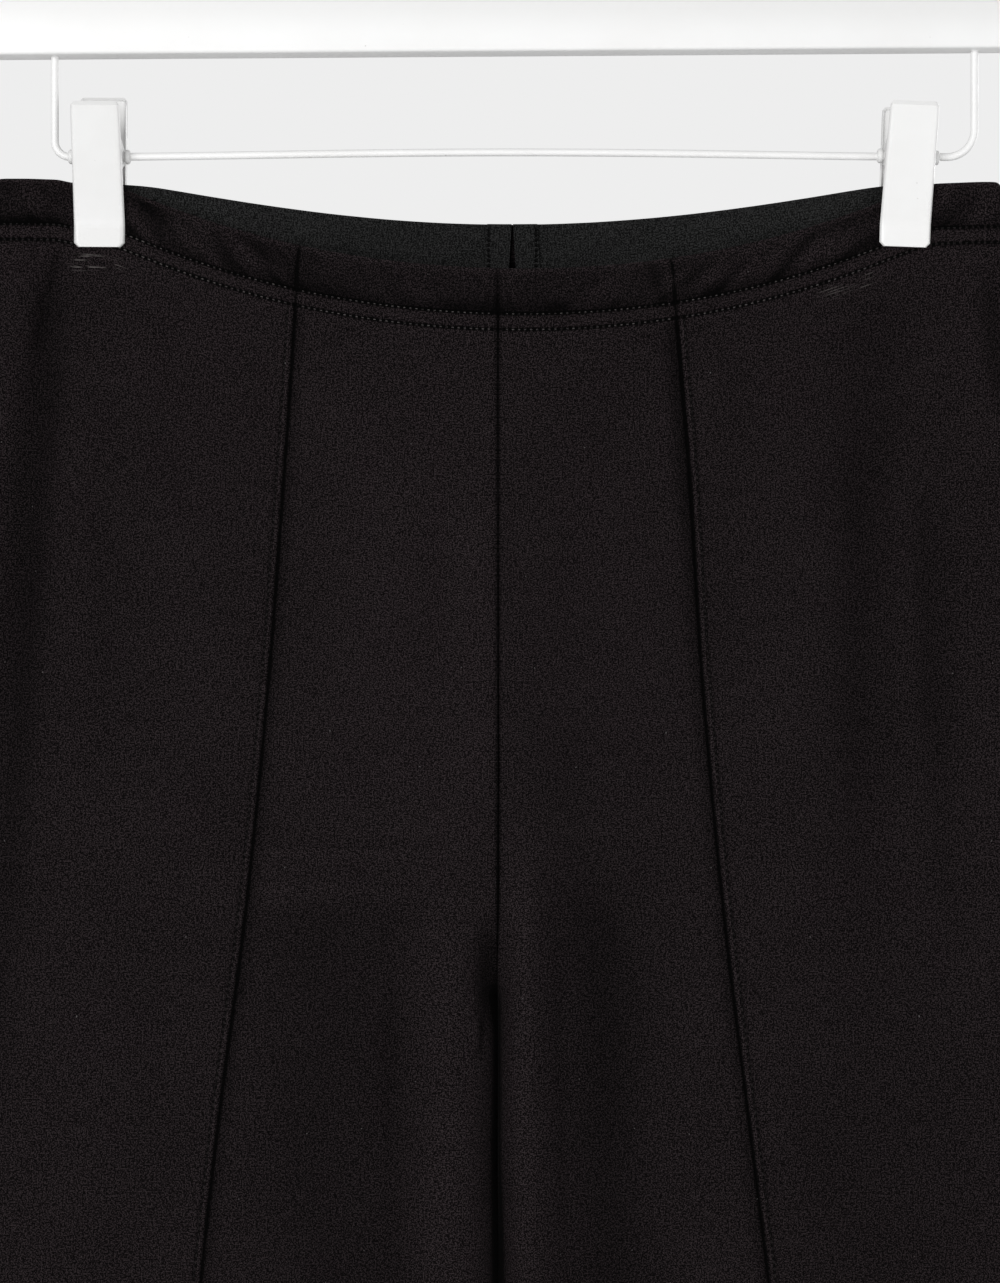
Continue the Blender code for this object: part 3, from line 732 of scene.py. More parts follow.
def band(sides: int, start: int = 0) -> list:
    """Faces between a ring of corners and the next ring.

    Args:
        sides: Corners in each ring.
        start: The first ring's first corner.

    Returns:
        A face to each side.
    """
    pairs = [(start + k, start + (k + 1) % sides) for k in range(sides)]
    return [[a, b, b + sides, a + sides] for a, b in pairs]


def tube(path: Grid, radius: Grid, sides: int) -> tuple[Grid, list]:
    """A round tube along a path, with closed ends.

    Args:
        path: Points along its middle.
        radius: Its radius at each point.
        sides: Corners around it.

    Returns:
        Its points and faces.
    """
    path = np.asarray(path, float)
    along = np.gradient(path, axis=0)
    along /= np.linalg.norm(along, axis=1, keepdims=True)
    side = np.cross(along[0], ASKEW)
    turning = []
    for direction in along:
        side = side - direction * np.dot(side, direction)
        side = side / np.linalg.norm(side)
        turning.append(side)
    first = np.array(turning)
    second = np.cross(along, first)
    angle = np.linspace(0, 2 * np.pi, sides, endpoint=False)
    ring = first[:, None] * np.cos(angle)[:, None] + second[:, None] * np.sin(angle)[:, None]
    radius = np.broadcast_to(radius, (len(path),))
    points = (path[:, None] + ring * radius[:, None, None]).reshape(-1, 3)
    faces: list = [list(range(sides))[::-1], [(len(path) - 1) * sides + k for k in range(sides)]]
    for i in range(len(path) - 1):
        faces += band(sides, i * sides)
    return points, faces


@dataclass
class Heap:
    """Many small meshes gathered into one piece."""

    points: list[Grid] = field(default_factory=list)
    faces: list = field(default_factory=list)
    count: int = 0

    def add(self, points: Grid, faces: list) -> None:
        """Adds a mesh.

        Args:
            points: Its points.
            faces: Its faces.
        """
        self.points.append(points)
        self.faces += [[corner + self.count for corner in face] for face in faces]
        self.count += len(points)

    def piece(self, name: str) -> Piece:
        """The gathered piece."""
        return mesh_piece(name, np.concatenate(self.points), self.faces)


# --- the trousers' form ------------------------------------------------------------------------------


@dataclass(frozen=True)
class WaistSag:
    """How the waist edge hangs between the clips."""

    lowest: float
    climb: float
    centre: float
    belly: float
    crotch_curve: float


@dataclass(frozen=True)
class Crease:
    """A soft trough in the cloth, or a ridge where depth is below 0, between two places.

    Places are the distance from the centre line and the hung drop. The tone is painted light on it,
    a highlight above 0 and shade below 0. A lean below 1 makes its side towards the side seam gentler.
    """

    start: tuple[float, float]
    end: tuple[float, float]
    half_width: float
    depth: float
    tone: float = 0.0
    fade: tuple[float, float] = (0.3, 0.3)
    lean: float = 1.0

    def shape(self, x: Grid, hung: Grid) -> Grid:
        """How much of the crease is at a place.

        Args:
            x: Distance from the centre line.
            hung: Hung drop.

        Returns:
            1 along its middle and 0 away from it.
        """
        (x0, d0), (x1, d1) = self.start, self.end
        dx, dd = x1 - x0, d1 - d0
        length = math.hypot(dx, dd)
        t = ((x - x0) * dx + (hung - d0) * dd) / length**2
        off = ((x - x0) * dd - (hung - d0) * dx) / length
        off = np.where(off > 0, off * self.lean, off)
        shown = ease(t / self.fade[0]) * ease((1 - t) / self.fade[1])
        return shown * bump_at(off, self.half_width)

    def fold_shape(self, x: Grid, drop: Grid) -> Grid:
        """How much of a large fold is at a place, by the form's drop.

        Args:
            x: Distance from the centre line.
            drop: Drop below the wire.

        Returns:
            1 along its middle and 0 away from it.
        """
        t = (drop - self.start[1]) / (self.end[1] - self.start[1])
        middle = self.start[0] + (self.end[0] - self.start[0]) * np.clip(t, 0, 1)
        return ease(t / 0.25) * ease((1 - t) / 0.4) * bump_at(x - middle, self.half_width)

    def on_left(self) -> "Crease":
        """The same crease on the left, a little shifted, wider and shallower."""
        start, end = ((place[0] - 6.0, place[1] + 9.0) for place in (self.start, self.end))
        return Crease(start, end, self.half_width * 1.1, self.depth * 0.9, self.tone)


RF, LF = (Side.RIGHT, Wall.FRONT), (Side.LEFT, Wall.FRONT)
RB, LB = (Side.RIGHT, Wall.BACK), (Side.LEFT, Wall.BACK)

# Folds that the source's solids have too: upper place, lower place, half width and depth.
LARGE_FOLDS = {
    RF: (
        ((172, 42), (190, 260), 8, 5.0),
        ((146, 100), (152, 240), 12, 1.6),
        ((38, 285), (44, 560), 8, 2.6),
        ((18, 270), (20, 560), 9, -1.8),
        ((84, 700), (62, 1060), 15, 4.5),
        ((196, 690), (212, 1060), 15, 5.0),
    ),
    LF: (
        ((142, 50), (144, 330), 9, 3.0),
        ((164, 100), (172, 260), 7, 2.4),
        ((26, 250), (40, 580), 14, 6.5),
        ((90, 720), (74, 1060), 14, 4.0),
        ((190, 700), (214, 1060), 16, 5.0),
    ),
    RB: (
        ((150, 45), (168, 300), 10, 4.5),
        ((36, 290), (52, 600), 13, 6.0),
        ((100, 690), (88, 1060), 16, 5.0),
        ((180, 720), (196, 1060), 14, 4.0),
    ),
    LB: (
        ((154, 45), (170, 280), 9, 4.0),
        ((30, 280), (46, 560), 12, 5.0),
        ((78, 700), (60, 1060), 14, 4.5),
        ((168, 690), (186, 1060), 17, 5.0),
    ),
}

# Smaller creases of the front: at the clips, beside the seams, at the crotch and across the thigh.
# The numbers go on with the tone, how each end fades and the lean.
# The tone in these tables and in SHARED_CREASES is painted light: a highlight above 0, painted shade below
# 0.
CREASES = {
    RF: (
        ((171, 30), (196, 430), 8.5, 1.0, -0.46, (0.08, 0.6)),
        ((168, 31), (174, 55), 1.6, 1.4, -0.3),
        ((173, 48), (178, 78), 2.4, 1.5, -0.25),
        ((178, 33), (181, 42), 1.3, 0.9, -0.25),
        ((142, 17), (128, 34), 2.4, 1.1, -0.15),
        ((153, 90), (147, 230), 6.5, 1.2, -0.12),
        ((10, 100), (11, 290), 11.0, -0.9, 0.16),
        ((44, 60), (40, 290), 32.0, -0.6, 0.1),
        ((24, 268), (96, 267), 1.7, -0.4, 0.2, (0.2, 0.15)),
        ((24, 264), (92, 263), 1.5, 0.3, -0.1, (0.2, 0.15)),
        ((28, 281), (94, 281), 1.9, -0.4, 0.19, (0.2, 0.15)),
        ((66, 278), (62, 500), 27.0, 1.2, -0.26, (0.08, 0.3)),
        ((40, 292), (40, 470), 2.6, 1.5, -0.14),
        ((20, 262), (19, 500), 10.0, -1.8, 0.19, (0.2, 0.3)),
        ((3.5, 284), (3.0, 340), 4.8, 1.9, -0.62, (0.45, 0.35)),
        ((5, 328), (7, 345), 1.1, 1.0, -0.5),
        ((8.5, 326), (9.5, 344), 1.0, -0.6, 0.22),
        ((141, 13), (122, 32), 2.0, 0.7, -0.26, (0.1, 0.4)),
        ((114, 19), (101, 36), 1.5, 0.6, -0.24, (0.2, 0.3)),
    ),
    LF: (
        ((146, 36), (139, 170), 11.0, 1.9, -0.24),
        ((141, 110), (137, 320), 12.5, 1.9, -0.24, (0.3, 0.5)),
        ((164, 84), (172, 330), 8.0, 1.7, -0.22, (0.3, 0.5)),
        ((188, 36), (194, 106), 4.2, 1.8, -0.4),
        ((57, 37), (65, 62), 2.0, 0.9, -0.34, (0.2, 0.3)),
        ((62, 36), (70, 58), 1.6, -0.6, 0.2, (0.2, 0.3)),
        ((8, 50), (30, 63), 4.5, 0.6, -0.26),
        ((70, 58), (100, 88), 4.0, 0.8, -0.06),
        ((76, 50), (112, 66), 3.0, 0.6, -0.05),
        ((104, 50), (104, 320), 11.0, -0.7, 0.06),
        ((10, 226), (12, 500), 5.5, -1.7, 0.22, (0.2, 0.3)),
        ((23, 200), (34, 330), 12.0, 1.5, -0.17),
        ((38, 258), (43, 520), 15.0, 1.8, -0.4, (0.25, 0.25), 0.8),
        ((23, 280), (28, 470), 2.4, 1.0, -0.08),
        ((150, 290), (152, 540), 40.0, 1.4, -0.13),
        ((4, 240), (5, 300), 2.0, -0.6, 0.1),
    ),
}

# Creases that both sides share.
SHARED_CREASES = {
    Wall.FRONT: (
        ((120, 300), (160, 520), 14, 1.6, -0.05),
        ((150, 420), (190, 640), 16, 1.8, -0.08),
        ((60, 480), (110, 700), 18, 1.8, -0.08),
    ),
    Wall.BACK: (
        ((90, 60), (100, 230), 16, 1.4, -0.08),
        ((60, 210), (120, 300), 14, 2.2, -0.12),
        ((50, 250), (130, 330), 10, 1.8, -0.1),
        ((140, 320), (120, 600), 16, 1.8, -0.1),
        ((190, 120), (200, 420), 12, 1.5, -0.1),
        ((22, 270), (26, 470), 6, -1.4, 0.1),
    ),
}


@dataclass
class WallForm:
    """The middle surface of one half of a wall, front or back, as it hangs."""

    side: Side
    wall: Wall
    wire_z: float = WIRE_Z
    centre_x: float = CENTRE_X
    centre_y: float = CENTRE_Y
    waist_drop: float = 9.5
    casing_depth: float = 23.3
    crotch_drop: float = 320.7
    hem_drop: float = 990.0
    pinched_half: float = PINCHED_HALF
    pinched_margin: float = 5.5
    clip_half: float = 9.7
    side_bulb: float = 4.3
    side_bulb_run: float = 14.0
    free_drop: float = 38.0
    free_run: float = 100.0
    sag_end_drop: float = 300.0
    sag_softness: float = 2.0
    front_seam_x: float = 75.0
    corner_x: float = 163.0
    corner_lift: float = 1.2
    inner_clearance: float = 0.05

    def __post_init__(self) -> None:
        """Reads the measured rows into curves, and picks this half's sag, clip and creases."""
        drops = (9.5, 35, 80, 130, 200, 260, 320.7, 380, 440, 500, 560, 655, 760, 860, 990)
        outline = {
            "outer": (192.8, 196, 210, 224, 237, 243, 243, 239, 234, 229, 224.5, 222, 231, 247, 272),
            "inner": (0, 0, 0, 0, 0, 0, 0, 0, 0.05, 1.8, 6.2, 14.7, 15.2, 9.7, 2.2),
            "front": (12, 13, 15, 16, 17, 18, 19, 19, 18, 17, 16, 15, 16, 18, 21),
            "back": (12, 14, 18, 21, 23, 23, 22, 20, 18, 17, 16, 15, 16, 18, 21),
            "inner_round": (20, 20, 20, 19, 18, 15, 12, 11, 11, 12, 13, 14, 15, 17, 20),
            "outer_round": (4.3, 7, 14, 19, 22, 23, 22, 21, 20, 18, 17, 16, 17, 19, 22),
        }
        self.outline = {name: Curve(drops, values) for name, values in outline.items()}
        seam_drops = (34, 60, 105, 198, 290, 382, 428, 560, 655, 760, 990)
        seams = {
            Side.RIGHT: (76.2, 78.0, 80.7, 87.2, 96.3, 108.1, 113.0, 120.5, 124.0, 128.5, 137.0),
            Side.LEFT: (65.8, 68.4, 72.2, 77.8, 86.2, 97.3, 103.0, 115.5, 122.0, 128.0, 137.0),
        }
        sags = {
            Wall.FRONT: WaistSag(44.4, 0.00141, 8.0, 15.0, 60.0),
            Wall.BACK: WaistSag(23.8, 0.0007, 6.0, 11.0, 75.0),
        }
        self.seam, self.sag = Curve(seam_drops, seams[self.side]), sags[self.wall]
        self.clip_x, here = CLIP_X[self.side], (self.side, self.wall)
        shared = [Crease(*row) for row in SHARED_CREASES[self.wall]]
        if self.side is Side.LEFT:
            shared = [crease.on_left() for crease in shared]
        self.folds = [Crease(*row) for row in LARGE_FOLDS[here]]
        self.small_creases = [Crease(*row) for row in CREASES.get(here, ())] + shared

    def seed(self, start: int, by_side: int, by_wall: int = 0) -> int:
        """A seed that differs from side to side and from wall to wall."""
        return start + by_side * self.side.sign + by_wall * self.wall.sign

    def waist_sag(self, x: Grid) -> Grid:
        """How far the waist edge hangs below its height at the clips.

        Args:
            x: Distance from the centre line.

        Returns:
            Millimetres down.
        """
        from_lowest = self.side.sign * x - self.sag.centre
        parabola = self.sag.lowest - self.sag.climb * from_lowest**2 - self.waist_drop
        return (parabola + np.sqrt(parabola**2 + self.sag_softness**2)) / 2

    def sag_left(self, drop: Grid) -> Grid:
        """How much of the waist's sag is left at a drop."""
        casing_end = self.waist_drop + self.casing_depth
        return 1 - ease((drop - casing_end) / (self.sag_end_drop - casing_end))

    def crotch_closing(self, drop: Grid) -> Grid:
        """0 where the wall runs straight over the centre line, 1 from the crotch down."""
        t = np.clip((drop - self.crotch_drop + self.sag.crotch_curve) / self.sag.crotch_curve, 0, 1)
        return 1 - np.sqrt(1 - t * t)

    def half_depth(self, x: Grid, drop: Grid) -> Grid:
        """How far the wall stands off the garment's middle plane, without its folds.

        Args:
            x: Distance from the centre line.
            drop: Drop below the wire.

        Returns:
            Millimetres outwards.
        """
        jaw = self.clip_half + self.pinched_margin
        belly = self.sag.belly * np.cos(np.pi / 2 * np.clip(x / (self.clip_x - jaw), 0, 1)) ** 2
        bulb = (self.side_bulb - self.pinched_half) * ease((x - self.clip_x - jaw) / self.side_bulb_run)
        pinched = self.pinched_half + belly + bulb
        full = self.outline[self.wall.value].at(drop)
        return pinched + (full - pinched) * ease((drop - self.free_drop) / self.free_run)

    def large_folds(self, x: Grid, drop: Grid) -> Grid:
        """How far the large folds push the wall outwards."""
        return -sum(fold.depth * fold.fold_shape(x, drop) for fold in self.folds)

    def inner_edge(self, drop: Grid) -> Grid:
        """Where the wall starts: on the centre line, then at the leg's inner edge."""
        return self.inner_clearance * np.sqrt(self.crotch_closing(drop)) + self.outline["inner"].at(drop)

    def run_lengths(self, drop: Grid) -> tuple[Grid, Grid, Grid]:
        """Measures along the wall.

        Args:
            drop: Drop below the wire.

        Returns:
            The runs of its rounded inner edge, its flat stretch and its side fold.
        """
        closing = self.crotch_closing(drop)
        inner_round = self.outline["inner_round"].at(drop)
        outer_round = self.outline["outer_round"].at(drop)
        depth = self.outline[self.wall.value].at(drop)
        quarter = np.pi / 2 * np.sqrt((inner_round**2 + depth**2) / 2)
        inner = inner_round + closing * (quarter - inner_round)
        outer = self.outline["outer"].at(drop) - outer_round
        fold = np.pi / 2 * np.sqrt((outer_round**2 + self.half_depth(outer, drop) ** 2) / 2)
        return inner, outer - self.inner_edge(drop) - inner_round, fold

    def across(self, run: Grid, drop: Grid) -> tuple[Grid, Grid]:
        """Where a place on the wall lies across the garment.

        Args:
            run: Run along the wall.
            drop: Drop below the wire.

        Returns:
            Its distance from the centre line, and how much of the wall's depth it stands off.
        """
        inner_run, flat_run, fold_run = self.run_lengths(drop)
        closing = self.crotch_closing(drop)
        turn_in = np.pi / 2 * np.minimum(run / inner_run, 1)
        turn_out = np.pi / 2 * np.maximum(run - inner_run - flat_run, 0) / fold_run
        spread = (1 - closing) * turn_in * 2 / np.pi + closing * (1 - np.cos(turn_in))
        x = self.inner_edge(drop) + self.outline["inner_round"].at(drop) * spread
        x = x + np.clip(run - inner_run, 0, flat_run)
        x = x + self.outline["outer_round"].at(drop) * np.sin(turn_out)
        return x, (1 - closing + closing * np.sin(turn_in)) * np.cos(turn_out)

    def hung(self, x: Grid, drop: Grid) -> Grid:
        """The drop with the waist's sag added, and the corner beyond the right clip pulled up a little."""
        pulled = self.corner_lift * ease((x - self.corner_x) / 8) if self.side is Side.RIGHT else 0.0
        return drop + (self.waist_sag(x) - pulled) * self.sag_left(drop)

    def point(self, run: Grid, drop: Grid) -> Grid:
        """A point of the wall's middle surface.

        Args:
            run: Run along the wall.
            drop: Drop below the wire.

        Returns:
            X, Y and Z in millimetres.
        """
        x, stand = self.across(run, drop)
        depth = self.half_depth(x, drop) + self.large_folds(x, drop)
        y = self.centre_y + self.wall.sign * depth * stand
        return np.stack([self.centre_x + self.side.sign * x, y, self.wire_z - self.hung(x, drop)], axis=-1)

    def normal(self, run: Grid, drop: Grid) -> Grid:
        """The direction out of the garment at a place.

        Args:
            run: Run along the wall.
            drop: Drop below the wire.

        Returns:
            A vector of length 1.
        """
        step = 0.5
        along = self.point(run + step, drop) - self.point(run - step, drop)
        down = self.point(run, drop + step) - self.point(run, drop - step)
        normal = np.cross(along, down) * self.side.sign * self.wall.sign
        return normal / np.linalg.norm(normal, axis=-1, keepdims=True)

    def seam_run(self, drop: Grid) -> Grid:
        """Where the front seam crosses the front wall.

        Args:
            drop: Drop below the wire.

        Returns:
            A run along the wall.
        """
        hung = drop + self.waist_sag(self.front_seam_x) * self.sag_left(drop)
        at_inner_round = self.inner_edge(drop) + self.outline["inner_round"].at(drop)
        return self.run_lengths(drop)[0] + self.seam.at(hung) - at_inner_round

    def side_run(self, drop: Grid) -> Grid:
        """The whole run of the wall, from its inner edge to the side seam."""
        return sum(self.run_lengths(drop))


@dataclass(frozen=True)
class Places:
    """Places on a wall of cloth, with their depth below the waist's fold."""

    run: Grid
    drop: Grid
    x: Grid
    hung: Grid
    depth: Grid


@dataclass
class ClothWall(WallForm):
    """A wall of cloth: the form, what stands proud of it or sinks into it, and its painted light and shade.
    """

    thickness: float = CLOTH
    roll_end: float = 17.3
    roll_height: float = 1.5
    gather_height: float = 1.0
    band_height: float = 0.35
    row_groove: float = 0.6
    seam_groove: float = 1.0
    ridge_height: float = 0.62
    ridge_width: float = 2.5
    hem_fold: float = 20.0
    hem_rows: tuple[float, float] = (16.0, 18.5)
    softness: float = 0.5

    def places(self, run: Grid, drop: Grid) -> Places:
        """Everything that the relief and the tones read at a place."""
        x = self.across(run, drop)[0]
        return Places(run, drop, x, self.hung(x, drop), drop - self.waist_drop)

    def casing(self, at: Places) -> Grid:
        """The puffed roll over the elastic, its gathers, and the flat band between the stitch rows.

        Args:
            at: Places on the wall.

        Returns:
            Millimetres outwards.
        """
        run, depth, seed = at.run, at.depth, self.seed(11, 3, 7)
        t = np.clip(depth / self.roll_end, 0, 1)
        roll = np.sin(np.pi * t) ** 0.8
        leaned = run + 0.55 * depth + 1.6 * wander(depth + run * 0.2, 7.0, seed)
        strong = 0.45 + 0.55 * ease((at.x - 60) / 30)
        gathers = wander(leaned, 3.4, seed + 1) * 0.6 + wander(leaned * 1.02, 8.0, seed + 2) * 0.4
        gathers = gathers * strong * np.sin(np.pi * np.clip(t * 0.86 + 0.1, 0, 1)) * (t > 0) * (t < 1)
        band_t = np.clip((depth - self.roll_end) / (self.casing_depth - self.roll_end), 0, 1)
        below = ease(depth / 1.2) * ease((46 - depth) / 20)
        pucker = wander(run, 2.3, seed + 4) * bump_at(depth - self.roll_end - 3, 5.0) * 0.12
        free = ease((np.abs(at.x - self.clip_x) - self.clip_half - self.pinched_margin) / 10)
        height = self.roll_height * roll + self.gather_height * gathers
        height = height + self.band_height * np.sin(np.pi * band_t) + pucker * below
        grooves = bump_at(depth - self.roll_end, 0.75) + bump_at(depth - self.casing_depth, 0.6)
        edge = 0.45 * bump_at(depth, 0.7)
        return free * height - self.row_groove * grooves * (0.35 + 0.65 * free) - edge

    def below_casing(self, at: Places) -> Grid:
        """0 in the casing and 1 below it."""
        return ease((at.depth - self.casing_depth) / 3)

    def front_seam(self, at: Places) -> Grid:
        """The seam down the leg's front: a groove, and a topstitched ridge beside it.

        Args:
            at: Places on the wall.

        Returns:
            Millimetres outwards.
        """
        off = at.run - self.seam_run(at.drop)
        below = self.below_casing(at)
        wavy = 1 + 0.25 * wander(at.drop, 9.0, self.seed(40, 1))
        ridge = ease(off / 0.5) * ease((self.ridge_width + 1.1 - off) / 1.4) * self.ridge_height * wavy
        stitch = 0.3 * bump_at(off - self.ridge_width, 0.5)
        hollow = 0.45 * bump_at(off + 2.4, 2.6) * (off < 0)
        groove = self.seam_groove * bump_at(off, 0.85)
        outer = 0.3 * bump_at(off - 6.0, 3.0)
        return below * (ridge - stitch - hollow - outer) - groove * (0.6 + 0.4 * below)

    def edge_seam(self, off: Grid, drop: Grid, seed: int) -> Grid:
        """A plain pressed seam along a piece's edge, with faint puckers beside it.

        Args:
            off: Distance from the seam.
            drop: Drop below the wire.
            seed: Picks the puckers.

        Returns:
            Millimetres outwards.
        """
        groove = self.seam_groove * bump_at(off, 0.9)
        allowance = 0.22 * bump_at(off - 3.4, 2.2)
        pucker = 0.16 * wander(drop, 5.5, seed) * np.exp(-off / 5.0)
        return allowance + pucker - groove

    def hem(self, drop: Grid) -> Grid:
        """The turned-up hem, a little thicker, with two rows of stitching.

        Args:
            drop: Drop below the wire.

        Returns:
            Millimetres outwards.
        """
        up = self.hem_drop - drop
        rows = sum(0.35 * bump_at(up - row, 0.8) for row in self.hem_rows)
        return 0.3 * ease((self.hem_fold - up) / 2.0) - rows - 0.5 * bump_at(up, 0.8)

    def drape(self, at: Places) -> Grid:
        """The slow unevenness of hanging cloth.

        Args:
            at: Places on the wall.

        Returns:
            Millimetres outwards.
        """
        seed = self.seed(70, 5, 11)
        slow = drift(at.x, at.drop, (38.0, 90.0), seed)
        slow = slow + 0.45 * drift(at.x, at.drop, (15.0, 32.0), seed + 1)
        fine = 0.12 * drift(at.x, at.drop, (6.0, 9.0), seed + 2)
        free = ease((at.drop - 36) / 30)
        return self.softness * free * (slow * (1 + at.drop / 500) + fine)

    def height(self, run: Grid, drop: Grid) -> tuple[Grid, Grid]:
        """The whole relief at a place.

        Args:
            run: Run along the wall.
            drop: Drop below the wire.

        Returns:
            How far the outside stands proud, and how far the inside follows it.
        """
        at = self.places(run, drop)
        creased = sum(crease.depth * crease.shape(at.x, at.hung) for crease in self.small_creases)
        moved = self.drape(at) - creased
        seed = self.seed(90, 1, 3)
        seams = self.edge_seam(run, drop, seed) + self.edge_seam(self.side_run(drop) - run, drop, seed + 20)
        if self.wall is Wall.FRONT:
            seams = seams + self.front_seam(at)
        outside = moved + seams + self.hem(drop) + self.casing(at)
        in_casing = ease((at.depth - self.casing_depth - 3) / 6)
        hem = 0.5 * self.thickness * ease((drop - self.hem_drop + self.hem_fold) / 1.0)
        return outside, moved * in_casing - hem

    def surface(self, run: Grid, drop: Grid, lift: float = 0.0) -> Grid:
        """A point of the outside, lifted off it."""
        lifted = self.thickness / 2 + self.height(run, drop)[0] + lift
        return self.point(run, drop) + self.normal(run, drop) * lifted[..., None]

    def tone(self, run: Grid, drop: Grid) -> Grid:
        """Painted light and shade at a place: on creases and folds, at the seams and between the legs.

        Args:
            run: Run along the wall.
            drop: Drop below the wire.

        Returns:
            Above 0 where it is lighter and below 0 where it is darker.
        """
        at = self.places(run, drop)
        total = sum(crease.tone * crease.shape(at.x, at.hung) for crease in self.small_creases)
        in_fold = 1.0 if self.wall is Wall.BACK else ease((drop - 560) / 80)
        # Painted shade in the large folds' troughs and painted light on their ridges.
        total = total + 0.045 * in_fold * self.large_folds(at.x, drop)
        # Painted shade: a dark line between the legs below the crotch.
        below_crotch = ease((drop - self.crotch_drop + 6) / 14)
        wider = 1.3 + 0.7 * ease((drop - self.crotch_drop) / 90)
        total = total - 0.98 * bump_at(np.maximum(at.x - wider, 0), 0.8) * below_crotch
        # Painted shade along the seams at the inner and side edges.
        near_crotch = ease((drop - self.crotch_drop + 90) / 90)
        in_casing = 1 - 0.72 * ease((self.waist_drop + self.roll_end - drop) / 3)
        total = total - 0.9 * in_casing * bump_at(run, 0.5 + 0.6 * near_crotch) - 0.15 * bump_at(run, 1.6)
        total = total - 0.6 * bump_at(self.side_run(drop) - run, 0.5)
        if self.wall is Wall.FRONT:
            total = total + self.seam_painted_light(at)
        return total + self.casing_painted_light(at)

    def seam_painted_light(self, at: Places) -> Grid:
        """The front seam's painted shade in groove, hollow and topstitch, and painted highlight on the
        ridge.

        Args:
            at: Places on the wall.

        Returns:
            Above 0 where it is lighter and below 0 where it is darker.
        """
        off = at.run - self.seam_run(at.drop)
        below = self.below_casing(at)
        wide = 1 + (0.7 if self.side is Side.LEFT else 0.0) * bump_at(at.drop - 75, 75)
        total = -0.95 * bump_at(off + 0.2, 0.7 + 0.12 * wander(at.drop, 5.0, self.seed(60, 1)))
        total = total - 0.34 * below * bump_at((off + 1.8) / wide, 2.4) * (off < 0.5) * wide
        return total + 0.26 * below * bump_at(off - 1.5, 0.7) - 0.34 * below * bump_at(off - 2.9, 0.5)

    def casing_painted_light(self, at: Places) -> Grid:
        """Painted light and shade on the casing: top fold and band lit, roll, gathers and stitch rows
        shaded.

        Args:
            at: Places on the wall.

        Returns:
            Above 0 where it is lighter and below 0 where it is darker.
        """
        x, depth, seed = at.x, at.depth, self.seed(11, 3, 7)
        # Painted shade on the roll beyond the right corner, a little painted light on it beyond the left.
        if self.side is Side.RIGHT:
            outer = 0.34 * ease((x - self.corner_x) / 6)
        else:
            outer = -0.1 * ease((x - 165) / 8)
        in_roll = ease(depth / 3.0) * ease((self.roll_end + 0.3 - depth) / 0.8)
        leaned = at.run + 1.1 * depth
        gather_shade = drift(leaned, depth, (2.6, 7.0), seed + 8) * 0.6
        gather_shade = gather_shade + drift(leaned * 0.9, depth, (7.5, 10.0), seed + 9)
        strong = 0.4 + 0.6 * ease((x - 55) / 30)
        # Painted shade over the roll and above the first stitch row, painted light and shade in the
        # gathers, and a painted highlight along the fold on top.
        roll = -(0.22 + outer) * in_roll
        roll = roll - 0.34 * bump_at(depth - self.roll_end + 1.3, 2.9) * (depth < self.roll_end)
        roll = roll + 0.44 * gather_shade * strong * in_roll + 0.3 * bump_at(depth - 0.6, 1.2)
        # Painted shade at the stitch rows, by the centre and beyond the clips, and painted highlights on
        # the band.
        rows = bump_at(depth - self.roll_end, 0.55) + bump_at(depth - self.casing_depth, 0.6)
        band = 0.06 * bump_at(depth - 20.2, 1.6) + 0.06 * bump_at(depth - 25.6, 1.6)
        centre = -0.3 * bump_at(x, 14) * bump_at(depth - 14.0, 4.0)
        centre = centre - 0.2 * bump_at(depth - 24.6, 1.0) * ease((x - 158) / 8)
        return roll - 0.62 * rows + band + centre


# --- the cut pieces ----------------------------------------------------------------------------------


class Cut(Enum):
    """The three cut pieces of a side."""

    FRONT_CENTRE = "front_centre"
    FRONT_SIDE = "front_side"
    BACK = "back"

    @property
    def wall(self) -> Wall:
        """The wall that the piece is on."""
        return Wall.BACK if self is Cut.BACK else Wall.FRONT


@dataclass
class Stitch:
    """One visible stitch, a short arc of thread between two needle holes."""

    thread: float = 0.19
    rise: float = 0.1
    sink: float = 0.3
    cover: float = 0.56

    def add(self, heap: Heap, ends: Grid, normal: Grid) -> None:
        """Adds the stitch to a heap.

        Args:
            heap: The heap.
            ends: The two needle holes, on the cloth's surface.
            normal: The direction out of the cloth.
        """
        t = np.linspace(0.5 - self.cover / 2, 0.5 + self.cover / 2, 5)
        lift = (self.rise + self.sink) * np.sin(np.pi * np.linspace(0, 1, 5)) - self.sink
        path = ends[0] + (ends[1] - ends[0]) * t[:, None] + normal * lift[:, None]
        heap.add(*tube(path, self.thread * np.array([0.75, 1.0, 1.0, 1.0, 0.75]), 5))

    def row(self, heap: Heap, holes: Grid, normals: Grid) -> None:
        """Adds a row of stitches to a heap.

        Args:
            heap: The heap.
            holes: The needle holes in their order.
            normals: The direction out of the cloth at each.
        """
        for i in range(len(holes) - 1):
            self.add(heap, holes[i : i + 2], normals[i])


